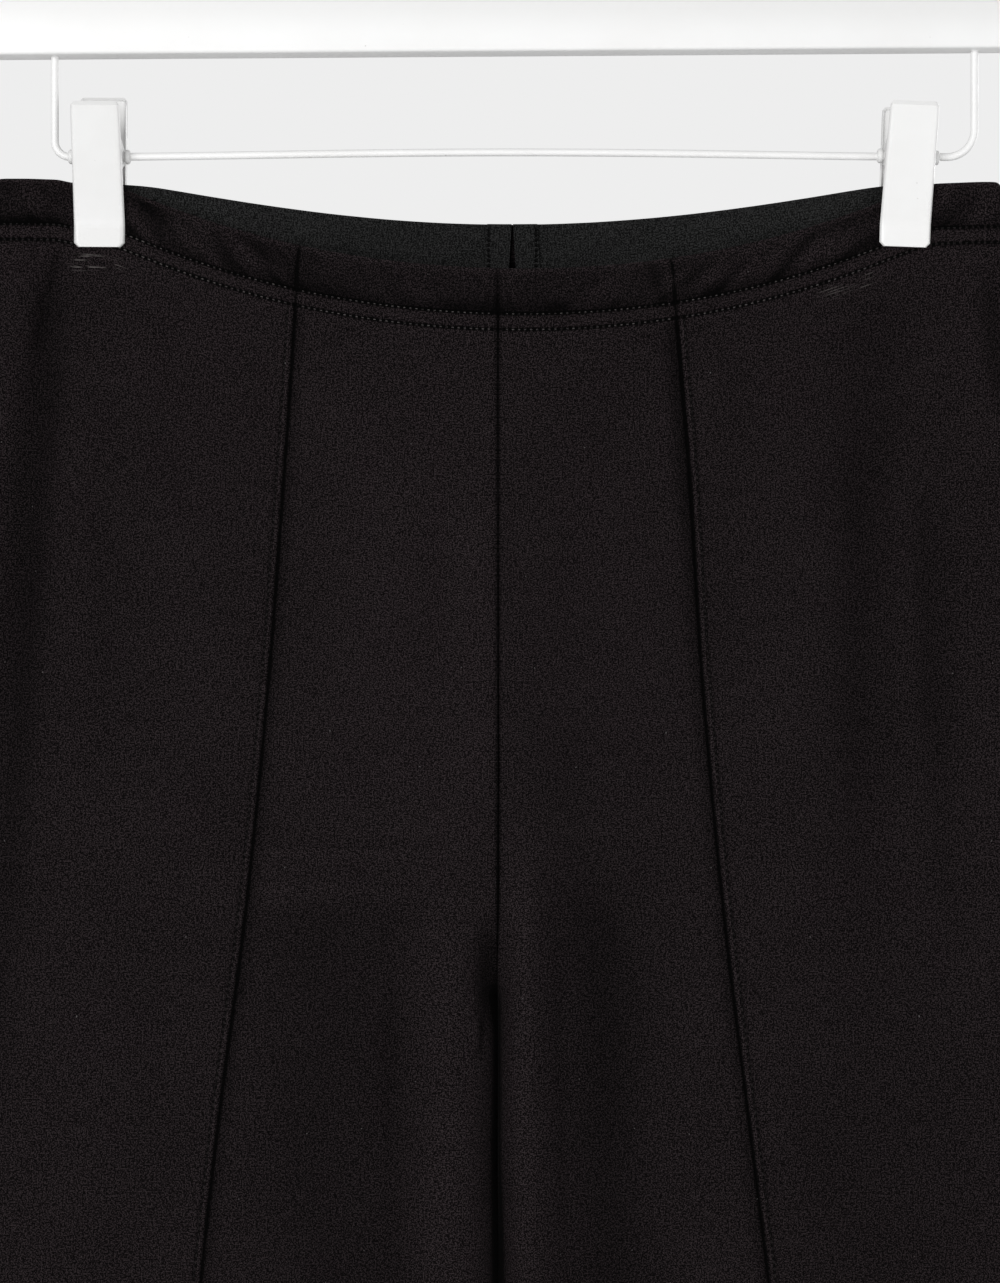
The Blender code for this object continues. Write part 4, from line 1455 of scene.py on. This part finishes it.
@dataclass
class CutPiece:
    """A cut piece of one side, from the waist's fold to the hem, with its stitching."""

    cut: Cut
    cloth: ClothWall
    column_step: float
    row_steps: tuple[float, ...] = (0.68, 1.9, 2.6, 8.5)
    row_ends: tuple[float, float] = (112.0, 452.0)
    edge_steps: tuple[float, ...] = (0.0, 0.4, 0.85, 1.4, 2.1, 3.0, 4.2, 6.0)
    ridge_steps: tuple[float, ...] = (0.0, 0.35, 0.7, 1.2, 1.7, 2.1, 2.5, 2.9, 3.3, 4.0, 5.0, 6.5)
    pitch: float = 2.3
    seam_pitch: float = 2.6
    hem_pitch: float = 3.0
    touch_end: float = 420.0

    @property
    def name(self) -> str:
        """The piece's name, which is its node's too."""
        return f"{self.cut.value}_{self.cloth.side.value}"

    def rows(self) -> Grid:
        """Drops of the piece's rows, close together in the casing and at the hem.

        Returns:
            The drops, one to a row.
        """
        waist, casing = self.cloth.waist_drop, self.cloth.casing_depth
        hem_start = self.cloth.hem_drop - self.cloth.hem_fold
        in_casing, in_creases, to_thigh, to_hem = self.row_steps
        creases_end, thigh = self.row_ends
        parts = (
            waist + np.array([0.0, 0.25, 0.7]),
            waist + np.arange(1.3, casing + 3.5, in_casing),
            np.arange(waist + casing + 4.5, creases_end, in_creases),
            np.arange(creases_end, thigh, to_thigh),
            np.arange(thigh, hem_start - 4, to_hem),
            hem_start + np.array([-1.5, 0.0, 0.75, 1.5, 2.4, 3.3, 4.2, 6, 9, 13, 16.5, 18.6, 19.5, 20]),
        )
        return np.concatenate(parts)[:, None]

    def limits(self, drop: Grid) -> tuple[Grid, Grid]:
        """Runs of the piece's two edges.

        Args:
            drop: Drop below the wire.

        Returns:
            The inner edge's run and the outer edge's.
        """
        first = self.cloth.seam_run(drop) if self.cut is Cut.FRONT_SIDE else np.zeros_like(drop)
        centre = self.cut is Cut.FRONT_CENTRE
        return first, self.cloth.seam_run(drop) if centre else self.cloth.side_run(drop)

    def runs(self, drop: Grid) -> Grid:
        """Runs of the piece's columns on each row, close together at its edges.

        Args:
            drop: Drop of each row.

        Returns:
            The runs, a row to a row.
        """
        first, last = self.limits(drop)
        near = np.array(self.ridge_steps if self.cut is Cut.FRONT_SIDE else self.edge_steps)
        far = np.array(self.edge_steps[::-1])
        middle = last - first - near[-1] - far[0]
        count = max(4, int(round(float(middle.mean()) / self.column_step)))
        between = near[-1] + middle * np.linspace(0, 1, count + 1)[1:-1]
        return np.concatenate([first + near, first + between, last - far], axis=1)

    def build(self) -> Piece:
        """Builds the cloth wall.

        Returns:
            The piece, without its finish.
        """
        cloth, drop = self.cloth, self.rows()
        run = self.runs(drop)
        down = drop + 0 * run
        outside, inside = cloth.height(run, drop)
        middle, normal = cloth.point(run, drop), cloth.normal(run, drop)
        half = cloth.thickness / 2
        seam = run - cloth.seam_run(drop) if cloth.wall is Wall.FRONT else run * 0 + 99
        layers = {
            "cloth": np.stack([run, down], axis=-1) * MM,
            "seam": np.stack([seam, down], axis=-1) * MM,
            # The tone layer carries the painted light and shade.
            "tone": np.stack([cloth.tone(run, drop), 0 * run], axis=-1),
        }
        outer_grid = self.meet(middle + normal * (half + outside)[..., None], run, drop, 0.0)
        inner_grid = self.meet(middle - normal * (half - inside)[..., None], run, drop, cloth.thickness)
        return wall_piece(self.name, outer_grid, inner_grid, layers)

    def meet(self, points: Grid, run: Grid, drop: Grid, inset: float) -> Grid:
        """Brings the edge on the centre line to its neighbour, and lays the legs together below the crotch.

        Args:
            points: The piece's grid of points.
            run: Run of each point.
            drop: Drop of each row.
            inset: How far inside the cloth's outside the points are.

        Returns:
            The moved points.
        """
        if self.cut is Cut.FRONT_SIDE:
            return points
        from_centre = (points[..., 0] - self.cloth.centre_x) * self.cloth.side.sign
        below = ease((drop - self.cloth.crotch_drop) / 4)
        nearest = inset * below - 0.1
        from_centre = from_centre - from_centre[:, :1] * bump_at(run, 5.0) * (1 - below)
        short = np.maximum(from_centre.min(axis=1, keepdims=True) - nearest + 0.4, 0)
        together = below * (1 - ease((drop - self.touch_end) / 40))
        from_centre = from_centre - short * bump_at(run, 9.0) * together
        points = points.copy()
        points[..., 0] = self.cloth.centre_x + self.cloth.side.sign * np.maximum(from_centre, nearest)
        return points

    def flat_cut(self) -> tuple[float, float, float]:
        """The piece before it is sewn.

        Returns:
            Its width, length and area in metres, from the waist's fold to the hem's.
        """
        drop = self.rows()
        first, last = self.limits(drop)
        points = self.cloth.point(self.runs(drop), drop)
        lengths = np.linalg.norm(np.diff(points, axis=0), axis=-1).sum(axis=0)
        width, length = float((last - first).max()), float(lengths.max())
        area = float(np.mean(lengths) * np.trapz((last - first)[:, 0], drop[:, 0]) / np.ptp(drop))
        return width * MM, length * MM, min(area * MM * MM, width * MM * (length * MM))

    def row_of_stitches(self, heap: Heap, runs: Grid, drops: Grid) -> None:
        """Sews a row through needle holes at those runs and drops."""
        Stitch().row(heap, self.cloth.surface(runs, drops, 0.1), self.cloth.normal(runs, drops))

    def sew(self) -> Piece:
        """Sews the two rows below the waist's roll and the two of the hem.

        Returns:
            The rows' thread.
        """
        heap, cloth = Heap(), self.cloth
        waist_rows = [cloth.waist_drop + depth for depth in (cloth.roll_end, cloth.casing_depth)]
        hem_rows = [cloth.hem_drop - up for up in cloth.hem_rows]
        pitches = [self.pitch] * 2 + [self.hem_pitch] * 2
        for drop, pitch in zip(waist_rows + hem_rows, pitches):
            first, last = (float(edge[0, 0]) for edge in self.limits(np.array([[drop]])))
            numbers = np.arange(math.ceil((first + 0.8) / pitch), math.floor((last - 0.8) / pitch) + 1)
            self.row_of_stitches(heap, numbers * pitch, np.full(len(numbers), drop))
        return heap.piece(f"{self.name}_stitches")

    def topstitch(self) -> Piece:
        """Sews the row beside the front seam.

        Returns:
            The row's thread.
        """
        heap, cloth = Heap(), self.cloth
        start = math.ceil((cloth.waist_drop + cloth.casing_depth + 0.6) / self.seam_pitch)
        drops = np.arange(start, int((cloth.hem_drop - cloth.hem_fold) / self.seam_pitch)) * self.seam_pitch
        self.row_of_stitches(heap, cloth.seam_run(drops) + cloth.ridge_width, drops)
        return heap.piece(f"{self.name}_topstitch")

    def dress(self, clips: Sequence[str]) -> None:
        """Builds, sews and finishes the piece.

        Args:
            clips: Names of the clip plates that it hangs from; not used.
        """
        piece = KNITS[self.cloth.side, self.cloth.wall].dress(self.build(), self.name)
        sewn = [THREAD.dress(self.sew())]
        if self.cut is Cut.FRONT_SIDE:
            sewn.append(SEAM_THREAD.dress(self.topstitch()))
        width, length, area = self.flat_cut()
        list(clips)
        LOG.info("%s: %.0f by %.0f mm, %.3f m2", self.name, width / MM, length / MM, area)


@dataclass
class WaistElastic:
    """The elastic inside the casing, joined at the back with its ends turned back and sewn down."""

    walls: dict[tuple[Side, Wall], ClothWall]
    thickness: float = 1.0
    gap: float = 0.3
    top: float = 0.1
    depth: float = 25.4
    join_x: float = 5.6
    join_gap: tuple[float, float] = (0.6, 3.6)
    turn_back: float = 9.5
    pitch: float = 2.0
    rows: int = 18
    quarter_columns: int = 84
    measured_row: int = 8
    measured_drop: float = 20.0

    @property
    def depths(self) -> Grid:
        """Depths of the strip's rows below the waist's fold."""
        return np.linspace(self.top, self.depth, self.rows)

    @property
    def drops(self) -> Grid:
        """Drops of the strip's rows."""
        return self.walls[LB].waist_drop + self.depths

    def column(self, here: tuple[Side, Wall], runs: Grid, layer: int = 0) -> tuple[Grid, Grid]:
        """One column of the strip, outside and inside.

        Args:
            here: The wearer's side and the wall.
            runs: Its run on each row.
            layer: 0 for the strip and 1 for an end turned back over it.

        Returns:
            Its outer and inner points.
        """
        cloth = self.walls[here]
        inset = cloth.thickness / 2 + self.gap + layer * (self.thickness + self.gap)
        middle, normal = cloth.point(runs, self.drops), cloth.normal(runs, self.drops)
        soft = 0.1 * wander(runs, 6.0, cloth.seed(5, 1, 1))[:, None]
        return middle - normal * inset, middle - normal * (inset + self.thickness + soft)

    def join_edge(self, direction: int) -> Grid:
        """The strip's end beside the join, as a run that opens a narrow wedge downwards."""
        wedge = self.join_gap[0] + (self.join_gap[1] - self.join_gap[0]) * (self.depths / self.depth)
        return self.join_x + direction * wedge / 2

    def strip(self, name: str, columns: list) -> Piece:
        """A strip through its columns.

        Args:
            name: The piece's name.
            columns: Its columns' points, outside and inside.

        Returns:
            The piece.
        """
        outside, inside = (np.stack(layer, axis=1) for layer in zip(*columns))
        steps = np.linalg.norm(np.diff(inside[self.measured_row], axis=0), axis=1)
        u, v = np.meshgrid(np.concatenate([[0.0], np.cumsum(steps)]), self.depths)
        return wall_piece(name, outside, inside, {"cloth": np.stack([u, v], axis=-1) * MM})

    def ring(self) -> list:
        """Goes once round the waist, from one side of the join to the other.

        Returns:
            The columns.
        """
        columns = [self.column(LB, self.join_edge(1))]
        for here, direction in ((LB, 1), (LF, -1), (RF, 1), (RB, -1)):
            full = self.walls[here].side_run(self.drops)
            for share in np.linspace(0, 1, self.quarter_columns)[::direction][:-1]:
                runs = full * share
                if here != LB or runs[0] >= self.join_x + 2.0:
                    columns.append(self.column(here, runs))
        for share in (0.0, 0.5, 1.0):
            columns.append(self.column(LB, self.join_edge(-1) * share))
        return columns

    def end(self, side: Side) -> Piece:
        """One end of the strip, turned back beside the join.

        Args:
            side: On which side of the join.

        Returns:
            The piece.
        """
        columns = []
        for step in np.linspace(0, 1, 7):
            runs = self.join_edge(side.sign) + side.sign * step * self.turn_back
            over = Side.LEFT if runs[0] > 0 else Side.RIGHT
            columns.append(self.column((over, Wall.BACK), over.sign * runs, 1))
        return self.strip(f"elastic_turn_back_{side.value}", columns)

    def sew(self, side: Side) -> Piece:
        """The row of stitches that holds a turned-back end down.

        Args:
            side: Which end.

        Returns:
            The thread.
        """
        heap, cloth = Heap(), self.walls[side, Wall.BACK]
        depths = np.arange(self.top + 1.2, self.depth - 1, self.pitch)
        runs = side.sign * self.join_x + (self.turn_back - 0.2) + np.zeros(len(depths))
        drops = cloth.waist_drop + depths
        inward = -cloth.normal(runs, drops)
        inset = cloth.thickness / 2 + 2 * self.gap + 2 * self.thickness + 0.12
        stitch = Stitch(thread=0.5, rise=0.42, sink=0.0, cover=0.52)
        stitch.row(heap, cloth.point(runs, drops) + inward * inset, inward)
        return heap.piece(f"turn_back_stitches_{side.value}")

    def dress(self) -> None:
        """Builds and finishes the strip, its ends and their stitches."""
        strip = ELASTIC.dress(self.strip("waist_elastic", self.ring()), "waist_elastic")
        for side in Side:
            ELASTIC.dress(self.end(side), f"elastic_turn_back_{side.value}")
            DARK_THREAD.dress(self.sew(side))
        drop = np.array([self.measured_drop])
        length = sum(float(cloth.side_run(drop)[0]) for cloth in self.walls.values())
        flat = (length * MM, (self.depth - self.top) * MM)
        LOG.info("waist elastic: %.0f mm round", length)


# --- the hanger --------------------------------------------------------------------------------------


@dataclass
class Wire:
    """The wire that carries the clips: down out of the bar, across and up again."""

    diameter: float = 3.0
    span: float = 354.0
    corners: tuple[float, float] = (6.0, 10.5)
    bow: float = 1.8
    level: float = WIRE_Z
    top: float = -102.0

    def height(self, x: float) -> float:
        """The height of the level stretch, which bows up a little in the middle."""
        return self.level + self.bow * (1 - min(1.0, abs(x) / (self.span / 2 - self.corners[0])) ** 2) ** 2

    def end(self, side: Side) -> Grid:
        """Points down one end and round its corner.

        Args:
            side: Which end.

        Returns:
            The points, from the bar to the level stretch.
        """
        half, corner = self.span / 2, self.corners[side is Side.LEFT]
        turn = np.radians(np.linspace(180, 270, 11))
        low = self.level + corner
        down = [(-half, 0.0, z) for z in np.linspace(self.top, low + 1, 8)]
        bend = [(-half + corner + corner * math.cos(a), 0.0, low + corner * math.sin(a)) for a in turn]
        return np.array(down + bend) * np.array([-side.sign, 1, 1])

    def path(self) -> Grid:
        """Goes along the wire's middle.

        Returns:
            The points, from the wearer's right to the left.
        """
        right, left = self.end(Side.RIGHT), self.end(Side.LEFT)[::-1]
        across = [(x, 0.0, self.height(x)) for x in np.linspace(right[-1, 0], left[0, 0], 60)[1:-1]]
        return np.concatenate([right, np.array(across), left])

    def dress(self) -> None:
        """Builds and finishes the wire."""
        COATING.dress(mesh_piece("hanger_wire", *tube(self.path(), self.diameter / 2, 16)), "hanger_wire")
        LOG.info("wire: %.0f mm across", self.span)


@dataclass
class Hook:
    """The hook over the rail, on a stem that stands in the bar."""

    rod: float = 4.0
    inside_radius: float = 18.0
    start_degrees: float = -60.0
    end_degrees: float = 208.0
    stem_top: float = -60.0
    foot: float = -87.7
    sweep: float = 12.0

    def path(self) -> Grid:
        """Goes along the rod's middle.

        Returns:
            The points, from the foot in the bar to the hook's tip.
        """
        radius = self.inside_radius + self.rod / 2
        angles = np.radians(np.linspace(self.start_degrees, self.end_degrees, 64))
        loop = np.stack([radius * np.cos(angles), -self.inside_radius + radius * np.sin(angles)], axis=1)
        turn = math.radians(self.start_degrees)
        stem_end = np.array([0.0, self.stem_top])
        pull_up = stem_end + (0.0, self.sweep)
        pull_back = loop[0] - self.sweep * np.array([-math.sin(turn), math.cos(turn)])
        t = np.linspace(0, 1, 18)[:-1, None]
        curve = (1 - t) ** 3 * stem_end + 3 * (1 - t) ** 2 * t * pull_up
        curve = curve + 3 * (1 - t) * t**2 * pull_back + t**3 * loop[0]
        stem = np.stack([np.zeros(6), np.linspace(self.foot, self.stem_top, 7)[:-1]], axis=1)
        flat = np.concatenate([stem, curve, loop])
        return np.stack([flat[:, 0], np.zeros(len(flat)), flat[:, 1]], axis=1)

    def dress(self) -> None:
        """Builds and finishes the hook, with its tip rounded off."""
        path = self.path()
        tip = path[-1] + (path[-1] - path[-2]) / np.linalg.norm(path[-1] - path[-2]) * 0.8
        path = np.concatenate([path, [tip]])
        radius = np.full(len(path), self.rod / 2)
        radius[-2:] = (self.rod / 2, self.rod / 2 * 0.72)
        COATING.dress(mesh_piece("hanger_hook", *tube(path, radius, 20)), "hanger_hook")
        LOG.info("hook: %.0f mm inside", 2 * self.inside_radius)


@dataclass
class Bar:
    """The hanger's flat white bar."""

    top: float = -74.8
    length: float = 436.0
    height: float = 36.0
    thickness: float = 13.0
    edge: float = 1.2
    tilt_degrees: float = 0.4

    def dress(self) -> None:
        """Builds and finishes the bar, its edges gently rounded."""
        shell = bmesh.new()
        bmesh.ops.create_cube(shell, size=1.0)
        shell.transform(Matrix.Diagonal((self.length * MM, self.thickness * MM, self.height * MM, 1)))
        rounding = {"offset": self.edge * MM, "segments": 4, "affect": "EDGES", "profile": 0.5}
        bmesh.ops.bevel(shell, geom=shell.edges[:], **rounding)
        for x in np.linspace(-self.length / 2, self.length / 2, 26)[1:-1]:
            whole = shell.verts[:] + shell.edges[:] + shell.faces[:]
            bmesh.ops.bisect_plane(shell, geom=whole, plane_co=(x * MM, 0, 0), plane_no=(1, 0, 0))
        tilt = Matrix.Rotation(-math.radians(self.tilt_degrees), 4, "Y")
        shell.transform(Matrix.Translation((0, 0, (self.top - self.height / 2) * MM)) @ tilt)
        name = "hanger_bar"
        PAINT.dress(smooth_piece(name, shell, bpy.data.meshes.new(name), 50), name)
        LOG.info("bar: %.0f mm long", self.length)


@dataclass
class Clip:
    """A clip on the wire: two stamped plates with turned-back edges, ears, collars and a coiled spring."""

    side: Side
    lean_degrees: float
    wire: Wire
    centre_x: float = CENTRE_X
    cloth_y: float = CENTRE_Y
    width: float = 19.6
    sheet: float = 1.1
    bottom: float = 34.6
    jaw_top: float = 26.0
    chamfer: float = 1.6
    pinched_half: float = PINCHED_HALF
    cloth: float = CLOTH
    gap: float = 0.3
    ear_sheet: float = 1.2
    ear_radius: float = 3.6
    collar_radius: float = 2.7
    spring_radius: float = 4.2
    spring_wire: float = 1.0
    turns: float = 8.0
    front_top: tuple[float, float] = (-15.0, 17.9)
    back_top: tuple[float, float] = (11.5, 23.8)

    @property
    def x(self) -> float:
        """Where it hangs, from the garment's middle."""
        return self.side.sign * CLIP_X[self.side]

    def profile(self, wall: Wall) -> Grid:
        """The plate's inner face from its jaw to its thumb end, as Y, Z and half width from the wire.

        Args:
            wall: Which plate.

        Returns:
            Rows of Y, Z and half width.
        """
        jaw_y = self.cloth_y + wall.sign * (self.pinched_half + self.cloth / 2 + self.gap)
        top_y, top_z = self.front_top if wall is Wall.FRONT else self.back_top
        half = self.width / 2
        rows = []
        for t in (0.0, 0.5, 1.0):
            rows.append((jaw_y, -self.bottom + self.chamfer * t, half - self.chamfer * (1 - t)))
        rows += [(jaw_y, -self.jaw_top - 2.0, half), (jaw_y, -self.jaw_top, half)]
        for t in np.linspace(0, 1, 15)[1:-1]:
            soft = t - 0.06 * math.sin(2 * math.pi * t) / (2 * math.pi)
            z = -self.jaw_top + (top_z + self.jaw_top) * t
            rows.append((jaw_y + (top_y - jaw_y) * soft, z, half - 0.45 * t))
        rows += [(top_y, top_z - 0.4, half - 0.6), (top_y - wall.sign * 0.5, top_z, half - 1.1)]
        return np.array(rows)

    def plate(self, wall: Wall) -> Piece:
        """Builds a plate with its edges turned back.

        Args:
            wall: Which plate.

        Returns:
            The piece, at the wire.
        """
        profile = self.profile(wall)
        out = wall.sign
        direction = np.gradient(profile[:, :2], axis=0)
        direction /= np.linalg.norm(direction, axis=1, keepdims=True)
        outward = np.stack([out * direction[:, 1], -out * direction[:, 0]], axis=1)
        across = np.array([-1, -0.985, -0.95, -0.9, -0.8, -0.5, 0, 0.5, 0.8, 0.9, 0.95, 0.985, 1.0])
        turned = 1.25 * np.clip((np.abs(across) - 0.9) / 0.1, 0, 1) ** 2.2
        grids = []
        for thickness in (self.sheet, 0.0):
            raised = thickness + 0.3 - turned
            y = profile[:, None, 0] + outward[:, None, 0] * raised
            z = profile[:, None, 1] + outward[:, None, 1] * raised
            x = profile[:, None, 2] * across * (1 if thickness else 0.94)
            grids.append(np.stack([x, y, z], axis=-1))
        return wall_piece(f"clip_{self.side.value}_{wall.value}_plate", grids[0], grids[1])

    def ears(self, wall: Wall) -> Piece:
        """Builds the two ears that turn on the wire, with a web to the plate and a collar outside.

        Args:
            wall: Which plate.

        Returns:
            The piece, at the wire.
        """
        heap = Heap()
        profile = self.profile(wall)
        low, high = np.interp((-6.0, 6.0), profile[:, 1], profile[:, 0])
        inset = 0.4 + (0.0 if wall is Wall.FRONT else self.ear_sheet + self.gap)
        side_view = [(low + wall.sign * 0.2, -6.0), (high + wall.sign * 0.2, 6.0)]
        angles = np.radians(np.linspace(*((100, -100) if wall is Wall.FRONT else (80, 280)), 13))
        side_view += [(self.ear_radius * math.cos(a), self.ear_radius * math.sin(a)) for a in angles]
        for s in (-1, 1):
            outer = s * (self.width / 2 - inset)
            ring = [(x, y, z) for x in (outer - s * self.ear_sheet, outer) for y, z in side_view]
            count = len(side_view)
            ends = [list(range(count)), list(range(count, 2 * count))[::-1]]
            heap.add(np.array(ring, float), ends + band(count))
            if wall is Wall.FRONT:
                along = outer + s * np.array([-0.4, 0.25, 0.45, 0.8, 1.3, 2.0, 2.4, 2.6])
                path = np.stack([along, np.zeros(8), np.zeros(8)], axis=1)
                radius = self.collar_radius * np.array([0.7, 0.68, 0.86, 1.0, 1.06, 1.0, 0.86, 0.68])
                heap.add(*tube(path, radius, 24))
        return heap.piece(f"clip_{self.side.value}_{wall.value}_ears")

    def spring(self) -> Piece:
        """Builds the coiled spring round the wire.

        Returns:
            The piece, at the wire.
        """
        half = self.width / 2 - 0.4 - 2 * (self.ear_sheet + self.gap) - self.spring_wire / 2
        radius = self.spring_radius - self.spring_wire / 2
        t = np.linspace(0, 1, int(self.turns * 20))
        angle = 2 * np.pi * self.turns * t
        path = np.stack([-half + 2 * half * t, radius * np.sin(angle), radius * np.cos(angle)], axis=1)
        return mesh_piece(f"clip_{self.side.value}_spring", *tube(path, self.spring_wire / 2, 8))

    def put(self, piece: Piece) -> Piece:
        """Moves a piece from the clip's own frame to its place on the wire, leaning as it hangs.

        Args:
            piece: The piece.

        Returns:
            The piece.
        """
        x = self.centre_x + self.x
        lean = Matrix.Rotation(math.radians(self.lean_degrees), 4, "Y")
        piece.data.transform(Matrix.Translation((x * MM, 0, self.wire.height(x) * MM)) @ lean)
        return piece

    def dress(self) -> list[str]:
        """Builds and finishes the clip.

        Returns:
            The names of its two plates.
        """
        names = []
        coating, name = CLIP_PAINTED_LIGHT_COATINGS[self.side], f"clip_{self.side.value}"
        for wall in Wall:
            plate = self.put(self.plate(wall))
            coating.dress(plate, f"{name}_{wall.value}_plate")
            coating.dress(self.put(self.ears(wall)))
            names.append(plate.name)
        STEEL.dress(self.put(self.spring()), f"{name}_spring")
        LOG.info("%s clip at %.0f mm", self.side.value, self.x)
        return names


# --- the studio --------------------------------------------------------------------------------------


@dataclass
class Studio:
    """A pale floor, plain soft light and the camera."""

    floor_z: float = -1235.0
    floor_radius: float = 2300.0
    floor_corners: int = 64
    backdrop: Colour = (0.855, 0.855, 0.855)
    camera_at: tuple[float, float, float] = (-5.63, -1200.0, -337.0)
    lens: float = 87.46
    dome: float = 0.58
    key_power: float = 33.5
    fill_power: float = 8.1
    back_power: float = 22.0

    def floor(self) -> None:
        """Lays the floor."""
        corners = self.floor_corners
        angle = np.linspace(0, 2 * np.pi, corners, endpoint=False)
        rings = []
        for radius in (0.5 * self.floor_radius, self.floor_radius):
            rings += [(radius * np.cos(a), radius * np.sin(a), self.floor_z) for a in angle]
        piece = mesh_piece("floor", np.array(rings), [list(range(corners))] + band(corners))
        FloorFinish("pale_floor", (0.8, 0.8, 0.8), 0.9).coat(piece)

    def lamp(self, name: str, place: tuple, aim: tuple, size: float, power: float) -> None:
        """Hangs a soft square lamp.

        Args:
            name: Its name.
            place: Where it hangs, in millimetres.
            aim: What it points at.
            size: Its side.
            power: Its power in watts.
        """
        lamp = bpy.data.lights.new(name, "AREA")
        lamp.shape, lamp.size, lamp.energy = "SQUARE", size * MM, power
        piece = linked(name, lamp)
        piece.location = Vector(place) * MM
        piece.rotation_euler = (Vector(aim) - Vector(place)).to_track_quat("-Z", "Y").to_euler()

    def light_dome(self, tree: bpy.types.NodeTree) -> None:
        """Makes the studio pale to look at, and dimmer as a light so that the lamps model the cloth.

        Args:
            tree: The world's nodes, with its plain background.
        """
        seen = tree.nodes["Background"]
        seen.inputs["Color"].default_value = (*self.backdrop, 1.0)
        light = tree.nodes.new("ShaderNodeBackground")
        light.inputs["Color"].default_value = (*self.backdrop, 1.0)
        light.inputs["Strength"].default_value = self.dome
        either = tree.nodes.new("ShaderNodeMixShader")
        looked_at = tree.nodes.new("ShaderNodeLightPath").outputs["Is Camera Ray"]
        tree.links.new(looked_at, either.inputs[0])
        tree.links.new(light.outputs[0], either.inputs[1])
        tree.links.new(seen.outputs[0], either.inputs[2])
        tree.links.new(either.outputs[0], tree.nodes["World Output"].inputs[0])

    def dress(self) -> None:
        """Sets the light, the floor and the camera."""
        scene = bpy.context.scene
        scene.view_settings.view_transform = "Standard"
        world = bpy.data.worlds.new("studio")
        world.use_nodes = True
        self.light_dome(world.node_tree)
        scene.world = world
        self.floor()
        self.lamp("key_light", (-1000, -2100, -60), (0, 0, -300), 1200, self.key_power)
        self.lamp("fill_light", (1250, -1600, -350), (0, 0, -300), 1500, self.fill_power)
        self.lamp("back_light", (1750, 1500, 100), (0, 0, -450), 1200, self.back_power)
        camera = bpy.data.cameras.new("camera")
        camera.sensor_width, camera.lens = 36.0, self.lens
        camera.clip_start, camera.clip_end = 0.01, 50.0
        scene.camera = linked("camera", camera)
        scene.camera.location = Vector(self.camera_at) * MM
        scene.camera.rotation_euler = (math.pi / 2, 0.0, 0.0)


def main() -> None:
    """Builds and dresses every piece of the garment and its hanger."""
    logging.basicConfig(level=logging.INFO, format="%(name)s: %(message)s")
    walls = {(side, wall): ClothWall(side, wall) for side in Side for wall in Wall}
    wire = Wire()
    Bar().dress()
    Hook().dress()
    wire.dress()
    plates = Clip(Side.RIGHT, 0.3, wire).dress()
    plates += Clip(Side.LEFT, 2.1, wire, back_top=(11.5, 19.9)).dress()
    steps = {Cut.FRONT_CENTRE: 1.6, Cut.FRONT_SIDE: 1.9, Cut.BACK: 3.2}
    for side in Side:
        for cut in Cut:
            CutPiece(cut, walls[side, cut.wall], steps[cut]).dress(plates)
    WaistElastic(walls).dress()
    Studio().dress()


if __name__ == "__main__":
    main()
